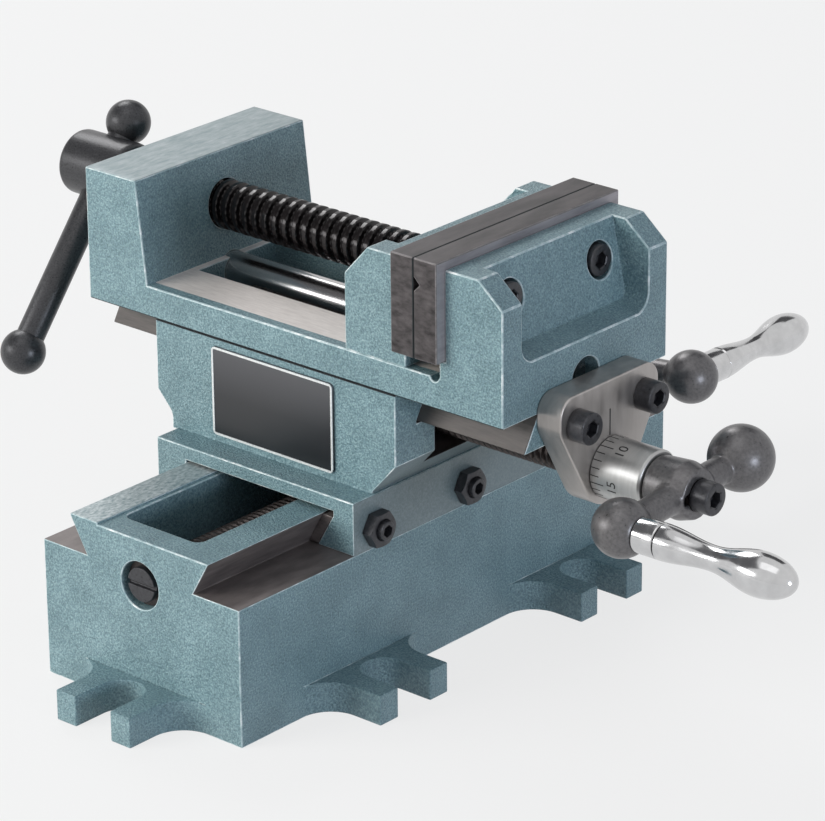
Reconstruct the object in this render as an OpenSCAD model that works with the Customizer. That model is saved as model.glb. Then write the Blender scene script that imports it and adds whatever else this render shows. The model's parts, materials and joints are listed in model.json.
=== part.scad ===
// Cross slide vise: a jaw vise on two crossed dovetail slides, each driven by a feed screw.
// X runs along the vise body towards the fixed jaw, Y runs along the base, Z is up.
// The origin is the centre of the base's underside. All sizes are in millimetres.

/* [Base] */
// Length of the base along its ways
base_l = 262; // [240:1:320]
// Width of the base across its ways
base_w = 105.6; // [98:0.2:124]
// Height of the flat ways above the floor
base_h = 58.5; // [55:0.5:72]
// Thickness of the side walls
base_wall = 10; // [7:0.5:13]
// Thickness of the end walls
end_wall = 12.5; // [11:0.5:16]
// Thickness of the metal under the flat ways
way_t = 14; // [11:0.5:18]
// Width of the open trough over the base screw
trough_w = 41; // [37:0.5:46]
// Corner radius of the trough
trough_r = 4; // [2:0.5:8]
// Thickness of the cross rib inside the base
rib_t = 8; // [6:0.5:12]
// Height of the cross rib inside the base
rib_h = 22; // [12:1:26]
// Width of the scraped land along the dovetail's left edge
land_w = 15; // [8:0.5:16]
// Height of the scraped land
land_h = 1; // [0.5:0.1:1.5]
// Depth of the base screw's axis below the flat ways
base_screw_drop = 5; // [4:0.5:7]

/* [Mounting lugs] */
// Reach of each slotted lug from the base wall
lug_l = 28; // [24:0.5:36]
// Thickness of the lugs
lug_h = 13; // [10:0.5:18]
// Width of a lug across its two prongs
lug_w = 40; // [36:0.5:48]
// Width of the open bolt slot
lug_slot = 19; // [14:0.5:20]
// Radius of the flare where a lug meets the base
lug_flare = 14; // [8:0.5:18]
// Distance between the two lugs on one side
lug_pitch = 124; // [110:1:150]
// Metal between the slot's round end and the base wall
slot_web = 3; // [2:0.5:6]

/* [Dovetails] */
// Width of both dovetails across their wide edge
dove_w = 74.5; // [70:0.5:80]
// Height of both dovetails
dove_h = 14.5; // [12:0.5:17]
// Angle of the dovetail flanks
dove_angle = 60; // [55:1:65]
// Thickness of the gib strips, measured level
gib_t = 5; // [4:0.5:6.5]
// Running clearance on sliding faces
slide_gap = 0.05; // [0.02:0.01:0.1]

/* [Saddle] */
// Length of the saddle flange along the base
saddle_l = 135; // [126:1:150]
// Offset of the flange's middle from the middle of the upper block
flange_at = 5; // [0:0.5:8]
// Place of the saddle along the base as drawn
saddle_at = -3; // [-50:1:50]
// Thickness of the flange above the flat ways
flange_h = 22.5; // [20:0.5:27]
// Overhang of the flange past the side of the base
flange_over = 0.4; // [0.3:0.1:2]
// Width of the upper block along the body
block_w = 128.5; // [116:0.5:150]
// Depth of the waist below the block, on the side without the gib
waist_in = 7.8; // [5:0.1:10]
// Height of the waist's slope above the flange
waist_h = 14.3; // [10:0.1:18]
// Slope of the waist, measured from level
waist_angle = 48; // [40:1:60]
// Radius where the slope meets the waist
waist_r = 6; // [3:0.5:9]
// Clear space above the base dovetail
roof_gap = 1; // [0.6:0.1:2]
// Thickness of the floor between the two slides
floor_t = 14; // [12:0.5:18]
// Width of the channel for the cross screw
channel_w = 53; // [50:0.5:56]
// Height of the channel below the upper dovetail
channel_h = 22; // [21.5:0.5:28]

/* [Vise body] */
// Length of the vise body
vise_l = 220; // [205:1:250]
// Width of the vise body
vise_w = 100; // [96:1:116]
// Place of the vise body along the cross slide as drawn
body_at = 8.5; // [-20:0.5:30]
// Thickness of the bed above the dovetail
bed_t = 13.1; // [11.5:0.1:17]
// Width of the slot between the two bed ways
slot_w = 46; // [40:0.5:50]
// Thickness of the slot's floor above the dovetail's underside
slot_floor = 8; // [6:0.5:9]
// Thickness of the upright at its top
upright_t = 28; // [24:0.5:36]
// Taper of the upright's inner face, from top to bed
upright_taper = 5; // [1:0.5:8]
// Height of the upright above the bed
upright_h = 43.6; // [38:0.2:56]
// Thickness of the fixed jaw along the body
fixed_t = 28.5; // [26:0.5:36]
// Height of the jaw castings above the bed
jaw_h = 44.8; // [42:0.2:54]
// Level size of the bevel on top of each jaw's back
bevel_x = 12; // [8:0.5:14]
// Upright size of that bevel
bevel_z = 10; // [8:0.5:16]
// Width of the side ribs behind each jaw
jaw_rib = 11.5; // [8:0.5:14]
// Thickness of a jaw's wall at its top
wall_top = 10; // [9:0.5:12]
// Thickness of a jaw's wall at its foot
wall_foot = 17; // [14:0.5:20]
// Height of the solid foot of each jaw above the bed
jaw_foot = 9.5; // [8:0.5:12]
// Corner radius of the pocket behind each jaw
pocket_r = 8; // [4:0.5:10]
// Width of the relief groove in front of the fixed jaw
relief = 4; // [2:0.5:5]
// Depth of the ledge under each jaw plate
ledge = 3; // [2:0.5:4.5]

/* [Jaws] */
// Length of the movable jaw casting along the body
jaw_t = 28; // [26:0.5:36]
// Length of the jaw plates
plate_l = 110; // [100:1:126]
// Height of the jaw plates
plate_h = 41; // [38:0.5:46]
// Thickness of each jaw plate
plate_t = 11.5; // [10:0.5:15]
// Height of the jaw plates' lower edge above the bed
plate_lift = 7.5; // [5:0.5:9]
// Depth of the level groove in the fixed jaw plate
vee_depth = 3; // [2:0.5:4]
// Distance of that groove below the plate's top
vee_drop = 10.5; // [8:0.5:12]
// Gap between the closed jaw plates
jaw_gap = 0.1; // [0.05:0.05:0.3]
// Distance between the two screws of a jaw plate
plate_screw_pitch = 54; // [50:1:62]
// Height of the plate screws above the bed
plate_screw_h = 30; // [26:0.5:32]
// Diameter of the guide rod under the jaw
rod_d = 15; // [12:0.5:16]
// Depth of the guide rod's axis below the bed
rod_drop = 6.6; // [5:0.1:7.5]
// Depth of the guide rod's hole in the upright
rod_seat = 20; // [12:1:24]
// Recess of the guide rod's free end from the end face
rod_recess = 6; // [3:0.5:9]
// Diameter of the mouth of the guide rod's hole
rod_mouth_d = 16.5; // [16:0.5:20]

/* [Spindle and tommy bar] */
// Outside diameter of the spindle thread
spindle_d = 20.5; // [18:0.5:24]
// Height of the spindle's axis above the bed
spindle_h = 21; // [19:0.1:23]
// Diameter of the plain journal in the movable jaw
journal_d = 14; // [11:0.5:16]
// Length of that journal
journal_l = 15; // [12:0.5:16]
// Diameter of the boss around the journal
boss_d = 30; // [26:0.5:32]
// Diameter of the pin that holds the journal
pin_d = 5; // [4:0.5:5]
// Diameter of the spindle head
head_d = 27.5; // [26:0.5:34]
// Length of the spindle head
head_l = 32; // [28:0.5:40]
// Distance from the upright to the spindle head, jaws closed
head_gap = 22; // [10:0.5:30]
// Diameter of the tommy bar
bar_d = 12; // [9:0.5:13]
// Length of the tommy bar between ball centres
bar_l = 106.5; // [90:0.5:130]
// Diameter of the two balls
ball_d = 19; // [17:0.5:24]
// Tilt of the tommy bar from upright as drawn
bar_tilt = 38.5; // [0:0.5:80]

/* [Feed screws] */
// Outside diameter of both feed screws
feed_d = 16; // [14:0.5:17]
// Diameter of the feed screws' bearings
feed_journal_d = 14; // [12.5:0.5:14]
// Diameter of the screw ends that carry the cranks
feed_end_d = 12; // [11:0.5:12]
// Metal around each feed nut's bore
nut_wall = 3; // [2.5:0.5:4]
// Length of each feed nut
nut_l = 30; // [24:1:36]
// Space between the cross screw and the channel floor
screw_floor_gap = 1; // [0.5:0.1:1.5]
// Length of the cross screw's thread
cross_thread_l = 194; // [180:1:200]

/* [Dials and cranks] */
// Diameter of the graduated dials
dial_d = 25; // [22:0.5:28]
// Length of the graduated dials
dial_l = 23.5; // [18:0.5:28]
// Diameter of the crank hub
hub_d = 24; // [22:0.5:28]
// Length of the crank hub
hub_l = 19.5; // [17:0.5:24]
// Distance of the crank's arms from the dial
arm_at = 13; // [10:0.5:14]
// Radius from the screw's axis to the handle
crank_r = 39; // [36:0.5:39.5]
// Radius from the screw's axis to the counterweight
weight_r = 35; // [32:0.5:38]
// Diameter of the ball that carries the handle
knob_d = 23.5; // [20:0.5:24]
// Diameter of the counterweight ball
weight_d = 26.8; // [24:0.2:28]
// Diameter of the crank's arms at the hub
arm_d = 13; // [10:0.5:15]
// Diameter of the crank's arms at the balls
arm_end_d = 10.5; // [8:0.5:12]
// Turn of the cross crank as drawn
cross_turn = -86.5; // [-180:0.5:180]
// Turn of the base crank as drawn
base_turn = -7.5; // [-180:0.5:180]
// Side of the square key under each crank
key_w = 4; // [3:0.5:4]

/* [Handles] */
// Diameter of the handle's fixed collar
collar_d = 14.4; // [12:0.2:16]
// Length of the handle's fixed collar
collar_l = 10; // [7:0.5:13]
// Diameter of the stud that the grip turns on
stud_d = 7; // [5:0.5:7]
// Length of the turning grip
grip_l = 61.5; // [50:0.5:75]
// Diameter of the grip's neck
neck_d = 10; // [9.5:0.1:12]
// Diameter of the grip's bulge
bulge_d = 17.6; // [14:0.2:21]

/* [Screw bracket] */
// Thickness of the bracket
bracket_t = 12; // [9:0.5:15]
// Width of the bracket
bracket_w = 60; // [58:0.5:66]
// Height of the bracket's top above the body's underside
bracket_rise = 8.4; // [6:0.2:11]
// Corner radius at the bracket's top
bracket_r = 8; // [5:0.5:10]
// Radius of the bracket's foot around the screw
bracket_foot_r = 15.5; // [13:0.5:16]
// Distance between the bracket's two screws
bracket_pitch = 41; // [38:0.5:44]
// Depth of those screws below the body's underside
bracket_screw_drop = 3.6; // [2:0.2:5]

/* [Nameplate] */
// Width of the bare nameplate
tag_w = 65; // [50:1:80]
// Height of the bare nameplate
tag_h = 38; // [30:0.5:40]
// Thickness of the bare nameplate
tag_t = 1; // [0.6:0.1:2]

/* [Screws] */
// Thread diameter of the large socket screws
cap_d = 8; // [6:0.5:8]
// Thread diameter of the small socket screws
small_d = 6; // [5:0.5:6]
// Thread diameter of the gib screws
gib_screw_d = 8; // [8:0.5:10]
// Distance between neighbouring gib screws
gib_pitch = 55; // [40:0.5:56]
// Running clearance of shafts and rods in their bores
fit = 0.05; // [0.02:0.01:0.08]
// Clearance of a screw in its hole
screw_gap = 0.2; // [0.1:0.05:0.4]

/* [Hidden] */
$fn = 72;
eps = 1;
seat_gap = 0.3;

paint = "#5f878c";
bare_iron = "#423d3c";
black = "#28282b";
steel = "#aeb2b6";
polished = "#d6d9dc";
bronze = "#a8813f";

// Heights of the stacked slides
way_z = base_h;
dove_top_z = way_z + dove_h;
flange_z = way_z + flange_h;
roof_z = dove_top_z + land_h + roof_gap;
channel_z = roof_z + floor_t;
dove_low_z = channel_z + channel_h;
body_z = dove_low_z + dove_h;
bed_z = body_z + bed_t;
jaw_z = bed_z + jaw_h;
slot_z = dove_low_z + slot_floor;
rod_z = bed_z - rod_drop;
spindle_z = bed_z + spindle_h;
base_screw_z = way_z - base_screw_drop;
cross_z = channel_z + screw_floor_gap + feed_d / 2;
plate_z = bed_z + plate_lift;
plate_screw_z = bed_z + plate_screw_h;

// Widths of the slides
root_w = dove_w - 2 * dove_h / tan(dove_angle);
flange_w = base_w + 2 * flange_over;
half_w = vise_w / 2;

// Places along the vise body
tail_x = body_at - vise_l / 2;
nose_x = body_at + vise_l / 2;
upright_x = tail_x + upright_t + upright_taper;
fixed_x = nose_x - fixed_t;
close_x = fixed_x - plate_t - jaw_gap;
jaw_x = close_x - plate_t;
jaw_back_x = jaw_x - jaw_t;
bracket_x = nose_x + bracket_t;
head_x = tail_x - head_gap;
thread_end_x = jaw_x - wall_top - journal_l;

// Socket screw proportions
function head_size(d) = 1.5 * d + 1;
function socket_size(d) = 0.75 * d;

// Feed nuts
nut_flank = 8;
ear_out = 8;
ear_h = 7;
nut_side = feed_d / 2 + nut_flank;
ear_w = nut_side + ear_out;
ear_screw_y = nut_side + 0.4 * ear_out;
nut_screw_x = nut_side - 0.6 * nut_flank;

// Gib screws
gib_nut_af = 1.7 * gib_screw_d;
gib_nut_h = 0.6 * gib_screw_d;
gib_proud = 2;
upper_gib_screw_d = 0.8 * gib_screw_d;

// Dial and crank details
dial_edge = 0.8;
grub_d = 4;
grub_in = 6;
hub_draft = 2;
key_in = 2;
key_l = hub_l - 3 * key_in;
key_proud = 0.5;
key_low = feed_end_d / 2 - key_w / 2 + key_proud;
end_gap = 1;
stud_u = 0.75;

// Handle and crank places, measured out from the dial's seat
hub_at = dial_l + 2 * seat_gap;
arm_plane = hub_at + arm_at;
crank_end = hub_at + hub_l;
knob_flat = sqrt(pow(knob_d, 2) - pow(collar_d, 2)) / 2;
stud_low = arm_plane - knob_d / 4 + seat_gap;
grip_at = arm_plane + knob_flat + collar_l + seat_gap;
ball_flat = sqrt(pow(ball_d, 2) - pow(bar_d, 2)) / 2;
bar_high = head_d / 2 + ball_flat + seat_gap;
bar_low = bar_high - bar_l;

// Extrudes a profile drawn in X and Z along Y, centred.
module along_y(l) {
    rotate([90, 0, 0]) linear_extrude(l, center = true) children();
}

// Extrudes a profile drawn in Y and Z along X, centred.
module along_x(l) {
    rotate([90, 0, 90]) linear_extrude(l, center = true) children();
}

// Turns a shape built along +Z so that it points along +X or +Y.
module to_x() { rotate([0, 90, 0]) children(); }
module to_y() { rotate([-90, 0, 0]) children(); }

// A round bar along X or Y between two places.
module rod_x(d, x0, x1) { translate([x0, 0, 0]) to_x() cylinder(d = d, h = x1 - x0); }
module rod_y(d, y0, y1) { translate([0, y0, 0]) to_y() cylinder(d = d, h = y1 - y0); }

// A block between two corners.
module block(low, high) { translate(low) cube(high - low); }

module rounded_square(w, h, r) {
    square([w - 2 * r, h], center = true);
    square([w, h - 2 * r], center = true);
    for (x = [-1, 1], y = [-1, 1]) translate([x * (w / 2 - r), y * (h / 2 - r)]) circle(r);
}

// The unit normal of the outer tangent from circle a to circle b, each [x, y, radius], going round leftwards.
function tangent_normal(a, b) =
    let (d = [b[0] - a[0], b[1] - a[1]], turn = atan2(d[1], d[0]) - acos((a[2] - b[2]) / norm(d)))
    [cos(turn), sin(turn)];

// A convex plate outline wrapped around circles listed leftwards.
module wrapped_circles(circles) {
    n = len(circles);
    polygon([for (i = [0 : n - 1]) let (a = circles[i], b = circles[(i + 1) % n], t = tangent_normal(a, b))
        each [[a[0], a[1]] + a[2] * t, [b[0], b[1]] + b[2] * t]]);
    for (c = circles) translate([c[0], c[1]]) circle(c[2]);
}

// A socket head screw along +Z, its head seated on the plane z = 0.
module socket_screw(d, l) {
    difference() {
        union() {
            cylinder(d = head_size(d), h = d);
            translate([0, 0, -l]) cylinder(d = d, h = l);
        }
        translate([0, 0, d / 2]) cylinder(d = socket_size(d) / cos(30), h = d, $fn = 6);
    }
}

// A headless socket screw along +Z from z = 0 to z = l.
module set_screw(d, l) {
    difference() {
        cylinder(d = d, h = l);
        translate([0, 0, l - d / 2]) cylinder(d = d / 2 / cos(30), h = d, $fn = 6);
    }
}

// A hexagon nut along +Z on the plane z = 0.
module hex_nut(d, af, h) {
    difference() {
        cylinder(d = af / cos(30), h = h, $fn = 6);
        translate([0, 0, -eps]) cylinder(d = d + 2 * fit, h = h + 2 * eps);
    }
}

// Half width of a dovetail at a height above its narrow root.
function flank(h) = root_w / 2 + h / tan(dove_angle);

// A male dovetail with its root at zero and its wide edge at height dove_h.
module dovetail() {
    polygon([[-flank(0), 0], [flank(0), 0], [flank(dove_h), dove_h], [-flank(dove_h), dove_h]]);
}

// The space that a dovetail and its gib need, with the gib on the right and open past both edges.
module dovetail_space(depth) {
    low = -eps;
    left = slide_gap / sin(dove_angle);
    right = left + gib_t + slide_gap;
    polygon([[-flank(low) - left, low], [flank(low) + right, low], [flank(dove_h) + right, dove_h],
        [flank(dove_h) + right, depth], [-flank(dove_h) - left, depth], [-flank(dove_h) - left, dove_h]]);
}

// The gib's section beside the dovetail's right flank.
module gib_section() {
    side = slide_gap / sin(dove_angle);
    edge = 2 * seat_gap;
    polygon([[flank(edge) + side, edge], [flank(edge) + side + gib_t, edge],
        [flank(dove_h - edge) + side + gib_t, dove_h - edge], [flank(dove_h - edge) + side, dove_h - edge]]);
}

// Base

// The base's dovetail with the scraped land along its left edge.
module landed_dovetail() {
    land_x = land_w - flank(dove_h);
    polygon([[-flank(0), 0], [flank(0), 0], [flank(dove_h), dove_h], [land_x, dove_h],
        [land_x, dove_h + land_h], [-flank(dove_h), dove_h + land_h], [-flank(dove_h), dove_h]]);
}

module lug() {
    root = lug_w / 2 + lug_flare;
    slot_end = slot_web + lug_slot / 2;
    linear_extrude(lug_h) difference() {
        union() {
            translate([-eps, -lug_w / 2]) square([lug_l + eps, lug_w]);
            difference() {
                translate([-eps, -root]) square([lug_flare + eps, 2 * root]);
                for (s = [-1, 1]) translate([lug_flare, s * root]) circle(lug_flare);
            }
        }
        translate([slot_end, 0]) circle(d = lug_slot);
        translate([slot_end, -lug_slot / 2]) square([lug_l, lug_slot]);
    }
}

module lugs() {
    for (s = [-1, 1], y = [-1, 1])
        translate([s * base_w / 2, y * lug_pitch / 2, 0]) rotate([0, 0, 90 - 90 * s]) lug();
    translate([0, -base_l / 2, 0]) rotate([0, 0, -90]) lug();
}

end_bore_d = feed_journal_d + 2 * fit;
end_recess = 5;
recess_rim = 3;
end_recess_d = feed_journal_d + 2 * recess_rim;

module base_casting() {
    inner_l = base_l - 2 * end_wall;
    color(paint) difference() {
        union() {
            along_y(base_l) translate([-base_w / 2, 0]) square([base_w, way_z]);
            along_y(base_l) translate([0, way_z]) landed_dovetail();
            lugs();
        }
        difference() {
            block([-base_w / 2 + base_wall, -inner_l / 2, -eps], [base_w / 2 - base_wall, inner_l / 2, way_z - way_t]);
            block([-base_w / 2, -rib_t / 2, -eps], [base_w / 2, rib_t / 2, rib_h]);
        }
        translate([0, 0, rib_h + eps]) linear_extrude(base_l) rounded_square(trough_w, inner_l, trough_r);
        translate([0, 0, base_screw_z]) {
            rod_y(end_bore_d, -base_l / 2 - eps, base_l / 2 + eps);
            rod_y(end_recess_d, -base_l / 2 - eps, -base_l / 2 + end_recess);
        }
    }
}

// Feed screws, dials, cranks and handles, each built along +Z from the dial's seat at z = 0

// The carrying end of a feed screw: bearing, crank seat and tapped end, with the thread below.
module feed_screw(thread_l, bearing_l) {
    difference() {
        union() {
            translate([0, 0, -bearing_l - seat_gap - thread_l]) cylinder(d = feed_d, h = thread_l);
            translate([0, 0, -bearing_l - seat_gap - eps])
                cylinder(d = feed_journal_d, h = bearing_l + seat_gap + eps + dial_l);
            cylinder(d = feed_end_d, h = crank_end - end_gap);
        }
        translate([0, 0, crank_end - end_gap - 2 * cap_d]) cylinder(d = cap_d + 2 * fit, h = 2 * cap_d + eps);
        translate([0, 0, hub_at + key_in]) key_space(key_l);
    }
}

// The slot for the key, half in the screw and half in the hub.
module key_space(l) {
    side = key_w + 2 * fit;
    translate([key_low, -side / 2, 0]) cube([side, side, l]);
}

module crank_key() {
    color(steel) translate([key_low + fit, -key_w / 2, hub_at + key_in + fit])
        cube([key_w, key_w, key_l - 2 * fit]);
}

// Places the dial's grub screw opposite the handle, pointing outwards.
module at_grub() { translate([0, 0, dial_l - grub_in]) rotate([0, 0, 180]) to_x() children(); }

module dial() {
    color(steel) difference() {
        union() {
            translate([0, 0, seat_gap]) cylinder(d = dial_d, h = dial_l - dial_edge);
            translate([0, 0, seat_gap + dial_l - dial_edge])
                cylinder(d1 = dial_d, d2 = dial_d - 2 * dial_edge, h = dial_edge);
        }
        translate([0, 0, -eps]) cylinder(d = feed_journal_d + 2 * fit, h = dial_l + 2 * eps);
        at_grub() cylinder(d = grub_d + 2 * fit, h = dial_d);
    }
}

// The grub screw that holds a dial, below its surface.
module dial_screw() {
    low = feed_journal_d / 2 + fit;
    color(black) at_grub() translate([0, 0, low]) set_screw(grub_d, dial_d / 2 - low - eps);
}

module crank() {
    hub_low_d = hub_d - hub_draft;
    color(bare_iron) difference() {
        union() {
            translate([0, 0, hub_at]) cylinder(d1 = hub_low_d, d2 = hub_d, h = arm_at);
            translate([0, 0, arm_plane]) cylinder(d1 = hub_d, d2 = hub_d - 2 * hub_draft, h = hub_l - arm_at);
            translate([0, 0, arm_plane]) {
                to_x() cylinder(d1 = arm_d, d2 = arm_end_d, h = crank_r);
                rotate([0, 0, 180]) {
                    to_x() cylinder(d1 = arm_d, d2 = arm_end_d, h = weight_r);
                    translate([weight_r, 0, 0]) sphere(d = weight_d);
                }
                translate([crank_r, 0, 0]) difference() {
                    sphere(d = knob_d);
                    translate([0, 0, knob_flat]) cylinder(d = knob_d, h = knob_d);
                }
            }
        }
        translate([0, 0, -eps]) cylinder(d = feed_end_d + 2 * fit, h = crank_end + 2 * eps);
        translate([0, 0, hub_at + key_in]) key_space(hub_l);
        translate([crank_r, 0, stud_low - seat_gap]) cylinder(d = stud_d + 2 * fit, h = knob_d);
    }
}

module crank_screw() {
    color(black) translate([0, 0, crank_end]) socket_screw(cap_d, 1.5 * cap_d);
}

// The fixed collar and the stud that the grip turns on.
module handle_stud() {
    color(polished) translate([crank_r, 0, 0]) {
        translate([0, 0, arm_plane + knob_flat]) cylinder(d = collar_d, h = collar_l);
        translate([0, 0, stud_low]) cylinder(d = stud_d, h = grip_at + stud_u * grip_l - stud_low);
    }
}

// Radius of the grip at a share u of its length: collar, neck, bulge and round end.
neck_u = 0.38;
bulge_u = 0.74;
function ease(a, b, t) = a + (b - a) * (1 - cos(180 * t)) / 2;
function grip_radius(u) =
    u < neck_u ? ease(collar_d, neck_d, u / neck_u) / 2 :
    u < bulge_u ? ease(neck_d, bulge_d, (u - neck_u) / (bulge_u - neck_u)) / 2 :
    bulge_d / 2 * sqrt(max(0, 1 - pow((u - bulge_u) / (1 - bulge_u), 2)));

module grip() {
    steps = 28;
    tip = [for (i = [0 : 6]) bulge_u + (1 - bulge_u) * sin(15 * i)];
    body = [for (i = [0 : steps]) bulge_u * i / steps];
    us = [each body, for (i = [1 : 5]) tip[i]];
    color(polished) translate([crank_r, 0, grip_at]) difference() {
        rotate_extrude() polygon([[0, 0], for (u = us) [grip_radius(u), u * grip_l], [0, grip_l]]);
        translate([0, 0, -eps]) cylinder(d = stud_d + 2 * fit, h = stud_u * grip_l + 2 * eps);
    }
}

// Places a crank assembly on the base's far end or on the bracket.
module on_base_end() { translate([0, base_l / 2, base_screw_z]) to_y() rotate([0, 0, base_turn]) children(); }
module on_bracket() { translate([bracket_x, saddle_at, cross_z]) to_x() rotate([0, 0, cross_turn]) children(); }

module base_leadscrew() {
    thread_l = base_l - 2 * end_wall - 2 * seat_gap;
    color(steel) difference() {
        union() {
            on_base_end() feed_screw(thread_l, end_wall);
            translate([0, 0, base_screw_z])
                rod_y(feed_journal_d, -base_l / 2 + end_recess, -base_l / 2 + end_wall + 2 * seat_gap);
        }
        translate([0, 0, base_screw_z])
            rod_y(small_d + 2 * fit, -base_l / 2, -base_l / 2 + end_recess + 2.5 * small_d);
    }
}

end_washer_t = 1.2;
washer_gap = 0.5;

module base_end_washer() {
    color(steel) translate([0, 0, base_screw_z]) difference() {
        rod_y(end_recess_d - 2 * washer_gap, -base_l / 2 + end_recess - end_washer_t, -base_l / 2 + end_recess);
        rod_y(small_d + 2 * screw_gap, -base_l / 2, -base_l / 2 + end_recess + eps);
    }
}

// The slotted screw that keeps the base screw in its near bearing.
module base_end_screw() {
    head_y = -base_l / 2 + end_recess - end_washer_t;
    head_t = 3.2;
    slot = 1.8;
    color(black) translate([0, 0, base_screw_z]) difference() {
        union() {
            rod_y(2.4 * small_d, head_y - head_t, head_y);
            rod_y(small_d, head_y - eps, head_y + 2 * small_d);
        }
        block([-2 * small_d, head_y - 2 * head_t, -slot / 2], [2 * small_d, head_y - head_t / 2, slot / 2]);
    }
}

module base_dial() { on_base_end() dial(); }
module base_dial_screw() { on_base_end() dial_screw(); }
module base_crank() { on_base_end() crank(); }
module base_crank_key() { on_base_end() crank_key(); }
module base_crank_screw() { on_base_end() crank_screw(); }
module base_handle_stud() { on_base_end() handle_stud(); }
module base_grip() { on_base_end() grip(); }

// Saddle

module at_saddle() { translate([0, saddle_at, 0]) children(); }

gib_screw_z = way_z + 0.6 * dove_h;
upper_gib_screw_z = body_z - dove_h / 2;
gib_tip_x = flank(gib_screw_z - way_z + gib_screw_d / 2) + gib_t + 2 * slide_gap + seat_gap;
upper_gib_tip_y = flank(dove_h / 2 + upper_gib_screw_d / 2) + gib_t + 2 * slide_gap + seat_gap;
small_head_d = head_size(small_d);
tag_r = 2;

// The round corner is cut this much deeper, so that it crosses both walls.
waist_relief = 0.05;

// Section of the hollow below one side of the block: a slope, an arc and the space beside the waist.
module waist(depth) {
    wall_x = block_w / 2 - depth;
    side_x = block_w / 2 + 2 * waist_r;
    foot_z = flange_z - waist_h;
    centre = [wall_x + waist_r, flange_z + waist_h - depth * tan(waist_angle) - waist_r * tan(45 - waist_angle / 2)];
    slope = centre + waist_r * [-sin(waist_angle), cos(waist_angle)];
    polygon([[wall_x, foot_z], [wall_x, centre.y], slope,
        [side_x, slope.y + (side_x - slope.x) * tan(waist_angle)], [side_x, foot_z]]);
    translate(centre) circle(waist_r + waist_relief);
}

// Upper block of the saddle, with the waist below it. The side with the gib is cut in further.
module saddle_block() {
    difference() {
        block([-block_w / 2, -half_w, flange_z - eps], [block_w / 2, half_w, body_z - slide_gap]);
        along_y(vise_w + 2 * eps) {
            waist(waist_in + gib_t);
            mirror([1, 0]) waist(waist_in);
        }
    }
}

module saddle_casting() {
    color(paint) at_saddle() difference() {
        union() {
            block([-flange_w / 2, flange_at - saddle_l / 2, way_z + slide_gap],
                [flange_w / 2, flange_at + saddle_l / 2, flange_z]);
            saddle_block();
        }
        along_y(2 * saddle_l) translate([0, way_z]) dovetail_space(roof_z - way_z);
        along_x(block_w + 2 * eps) translate([0, body_z]) mirror([0, 1]) dovetail_space(dove_h + roof_gap);
        block([-block_w, -channel_w / 2, channel_z], [block_w, channel_w / 2, body_z]);
        for (i = [-1 : 1]) {
            translate([0, flange_at + i * gib_pitch, gib_screw_z]) rod_x(gib_screw_d + 2 * fit, 0, flange_w);
            translate([i * gib_pitch, 0, upper_gib_screw_z]) rod_y(upper_gib_screw_d + 2 * fit, 0, vise_w);
        }
        for (s = [-1, 1]) {
            translate([s * nut_screw_x, 0, way_z]) cylinder(d = small_d + 2 * screw_gap, h = dove_low_z - way_z);
            translate([s * nut_screw_x, 0, channel_z - small_d - seat_gap])
                cylinder(d = small_head_d + 2 * screw_gap, h = small_d + seat_gap + eps);
            translate([0, s * ear_screw_y, channel_z - 1.3 * small_d])
                cylinder(d = small_d + 2 * fit, h = 2 * small_d);
        }
    }
}

module lower_gib() {
    color(bare_iron) at_saddle() translate([0, flange_at, 0]) along_y(saddle_l) translate([0, way_z]) gib_section();
}

module upper_gib() {
    color(bare_iron) at_saddle() along_x(block_w) translate([0, body_z]) mirror([0, 1]) gib_section();
}

module lower_gib_screws() {
    reach = flange_w / 2 + gib_nut_h + gib_proud - gib_tip_x;
    color(black) at_saddle() for (i = [-1 : 1])
        translate([gib_tip_x, flange_at + i * gib_pitch, gib_screw_z]) to_x() set_screw(gib_screw_d, reach);
}

module lower_gib_nuts() {
    color(black) at_saddle() for (i = [-1 : 1])
        translate([flange_w / 2, flange_at + i * gib_pitch, gib_screw_z]) to_x()
            hex_nut(gib_screw_d, gib_nut_af, gib_nut_h);
}

module upper_gib_screws() {
    reach = half_w + 0.8 * gib_nut_h + gib_proud - upper_gib_tip_y;
    color(black) at_saddle() for (i = [-1 : 1])
        translate([i * gib_pitch, upper_gib_tip_y, upper_gib_screw_z]) to_y() set_screw(upper_gib_screw_d, reach);
}

module upper_gib_nuts() {
    color(black) at_saddle() for (i = [-1 : 1])
        translate([i * gib_pitch, half_w, upper_gib_screw_z]) to_y()
            hex_nut(upper_gib_screw_d, 0.8 * gib_nut_af, 0.8 * gib_nut_h);
}

// The nut under the saddle, reaching down through the trough to the base screw.
module base_feed_nut() {
    foot_z = base_screw_z - feed_d / 2 - nut_wall;
    color(bronze) at_saddle() difference() {
        block([-nut_side, -nut_l / 2, foot_z], [nut_side, nut_l / 2, roof_z]);
        translate([0, 0, base_screw_z]) rod_y(feed_d + 2 * fit, -nut_l, nut_l);
        for (s = [-1, 1]) translate([s * nut_screw_x, 0, roof_z - 2 * small_d])
            cylinder(d = small_d + 2 * fit, h = 2 * small_d + eps);
    }
}

module base_nut_screws() {
    seat_z = channel_z - small_d - seat_gap;
    color(black) at_saddle() for (s = [-1, 1])
        translate([s * nut_screw_x, 0, seat_z]) socket_screw(small_d, seat_z - roof_z + 1.5 * small_d);
}

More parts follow.
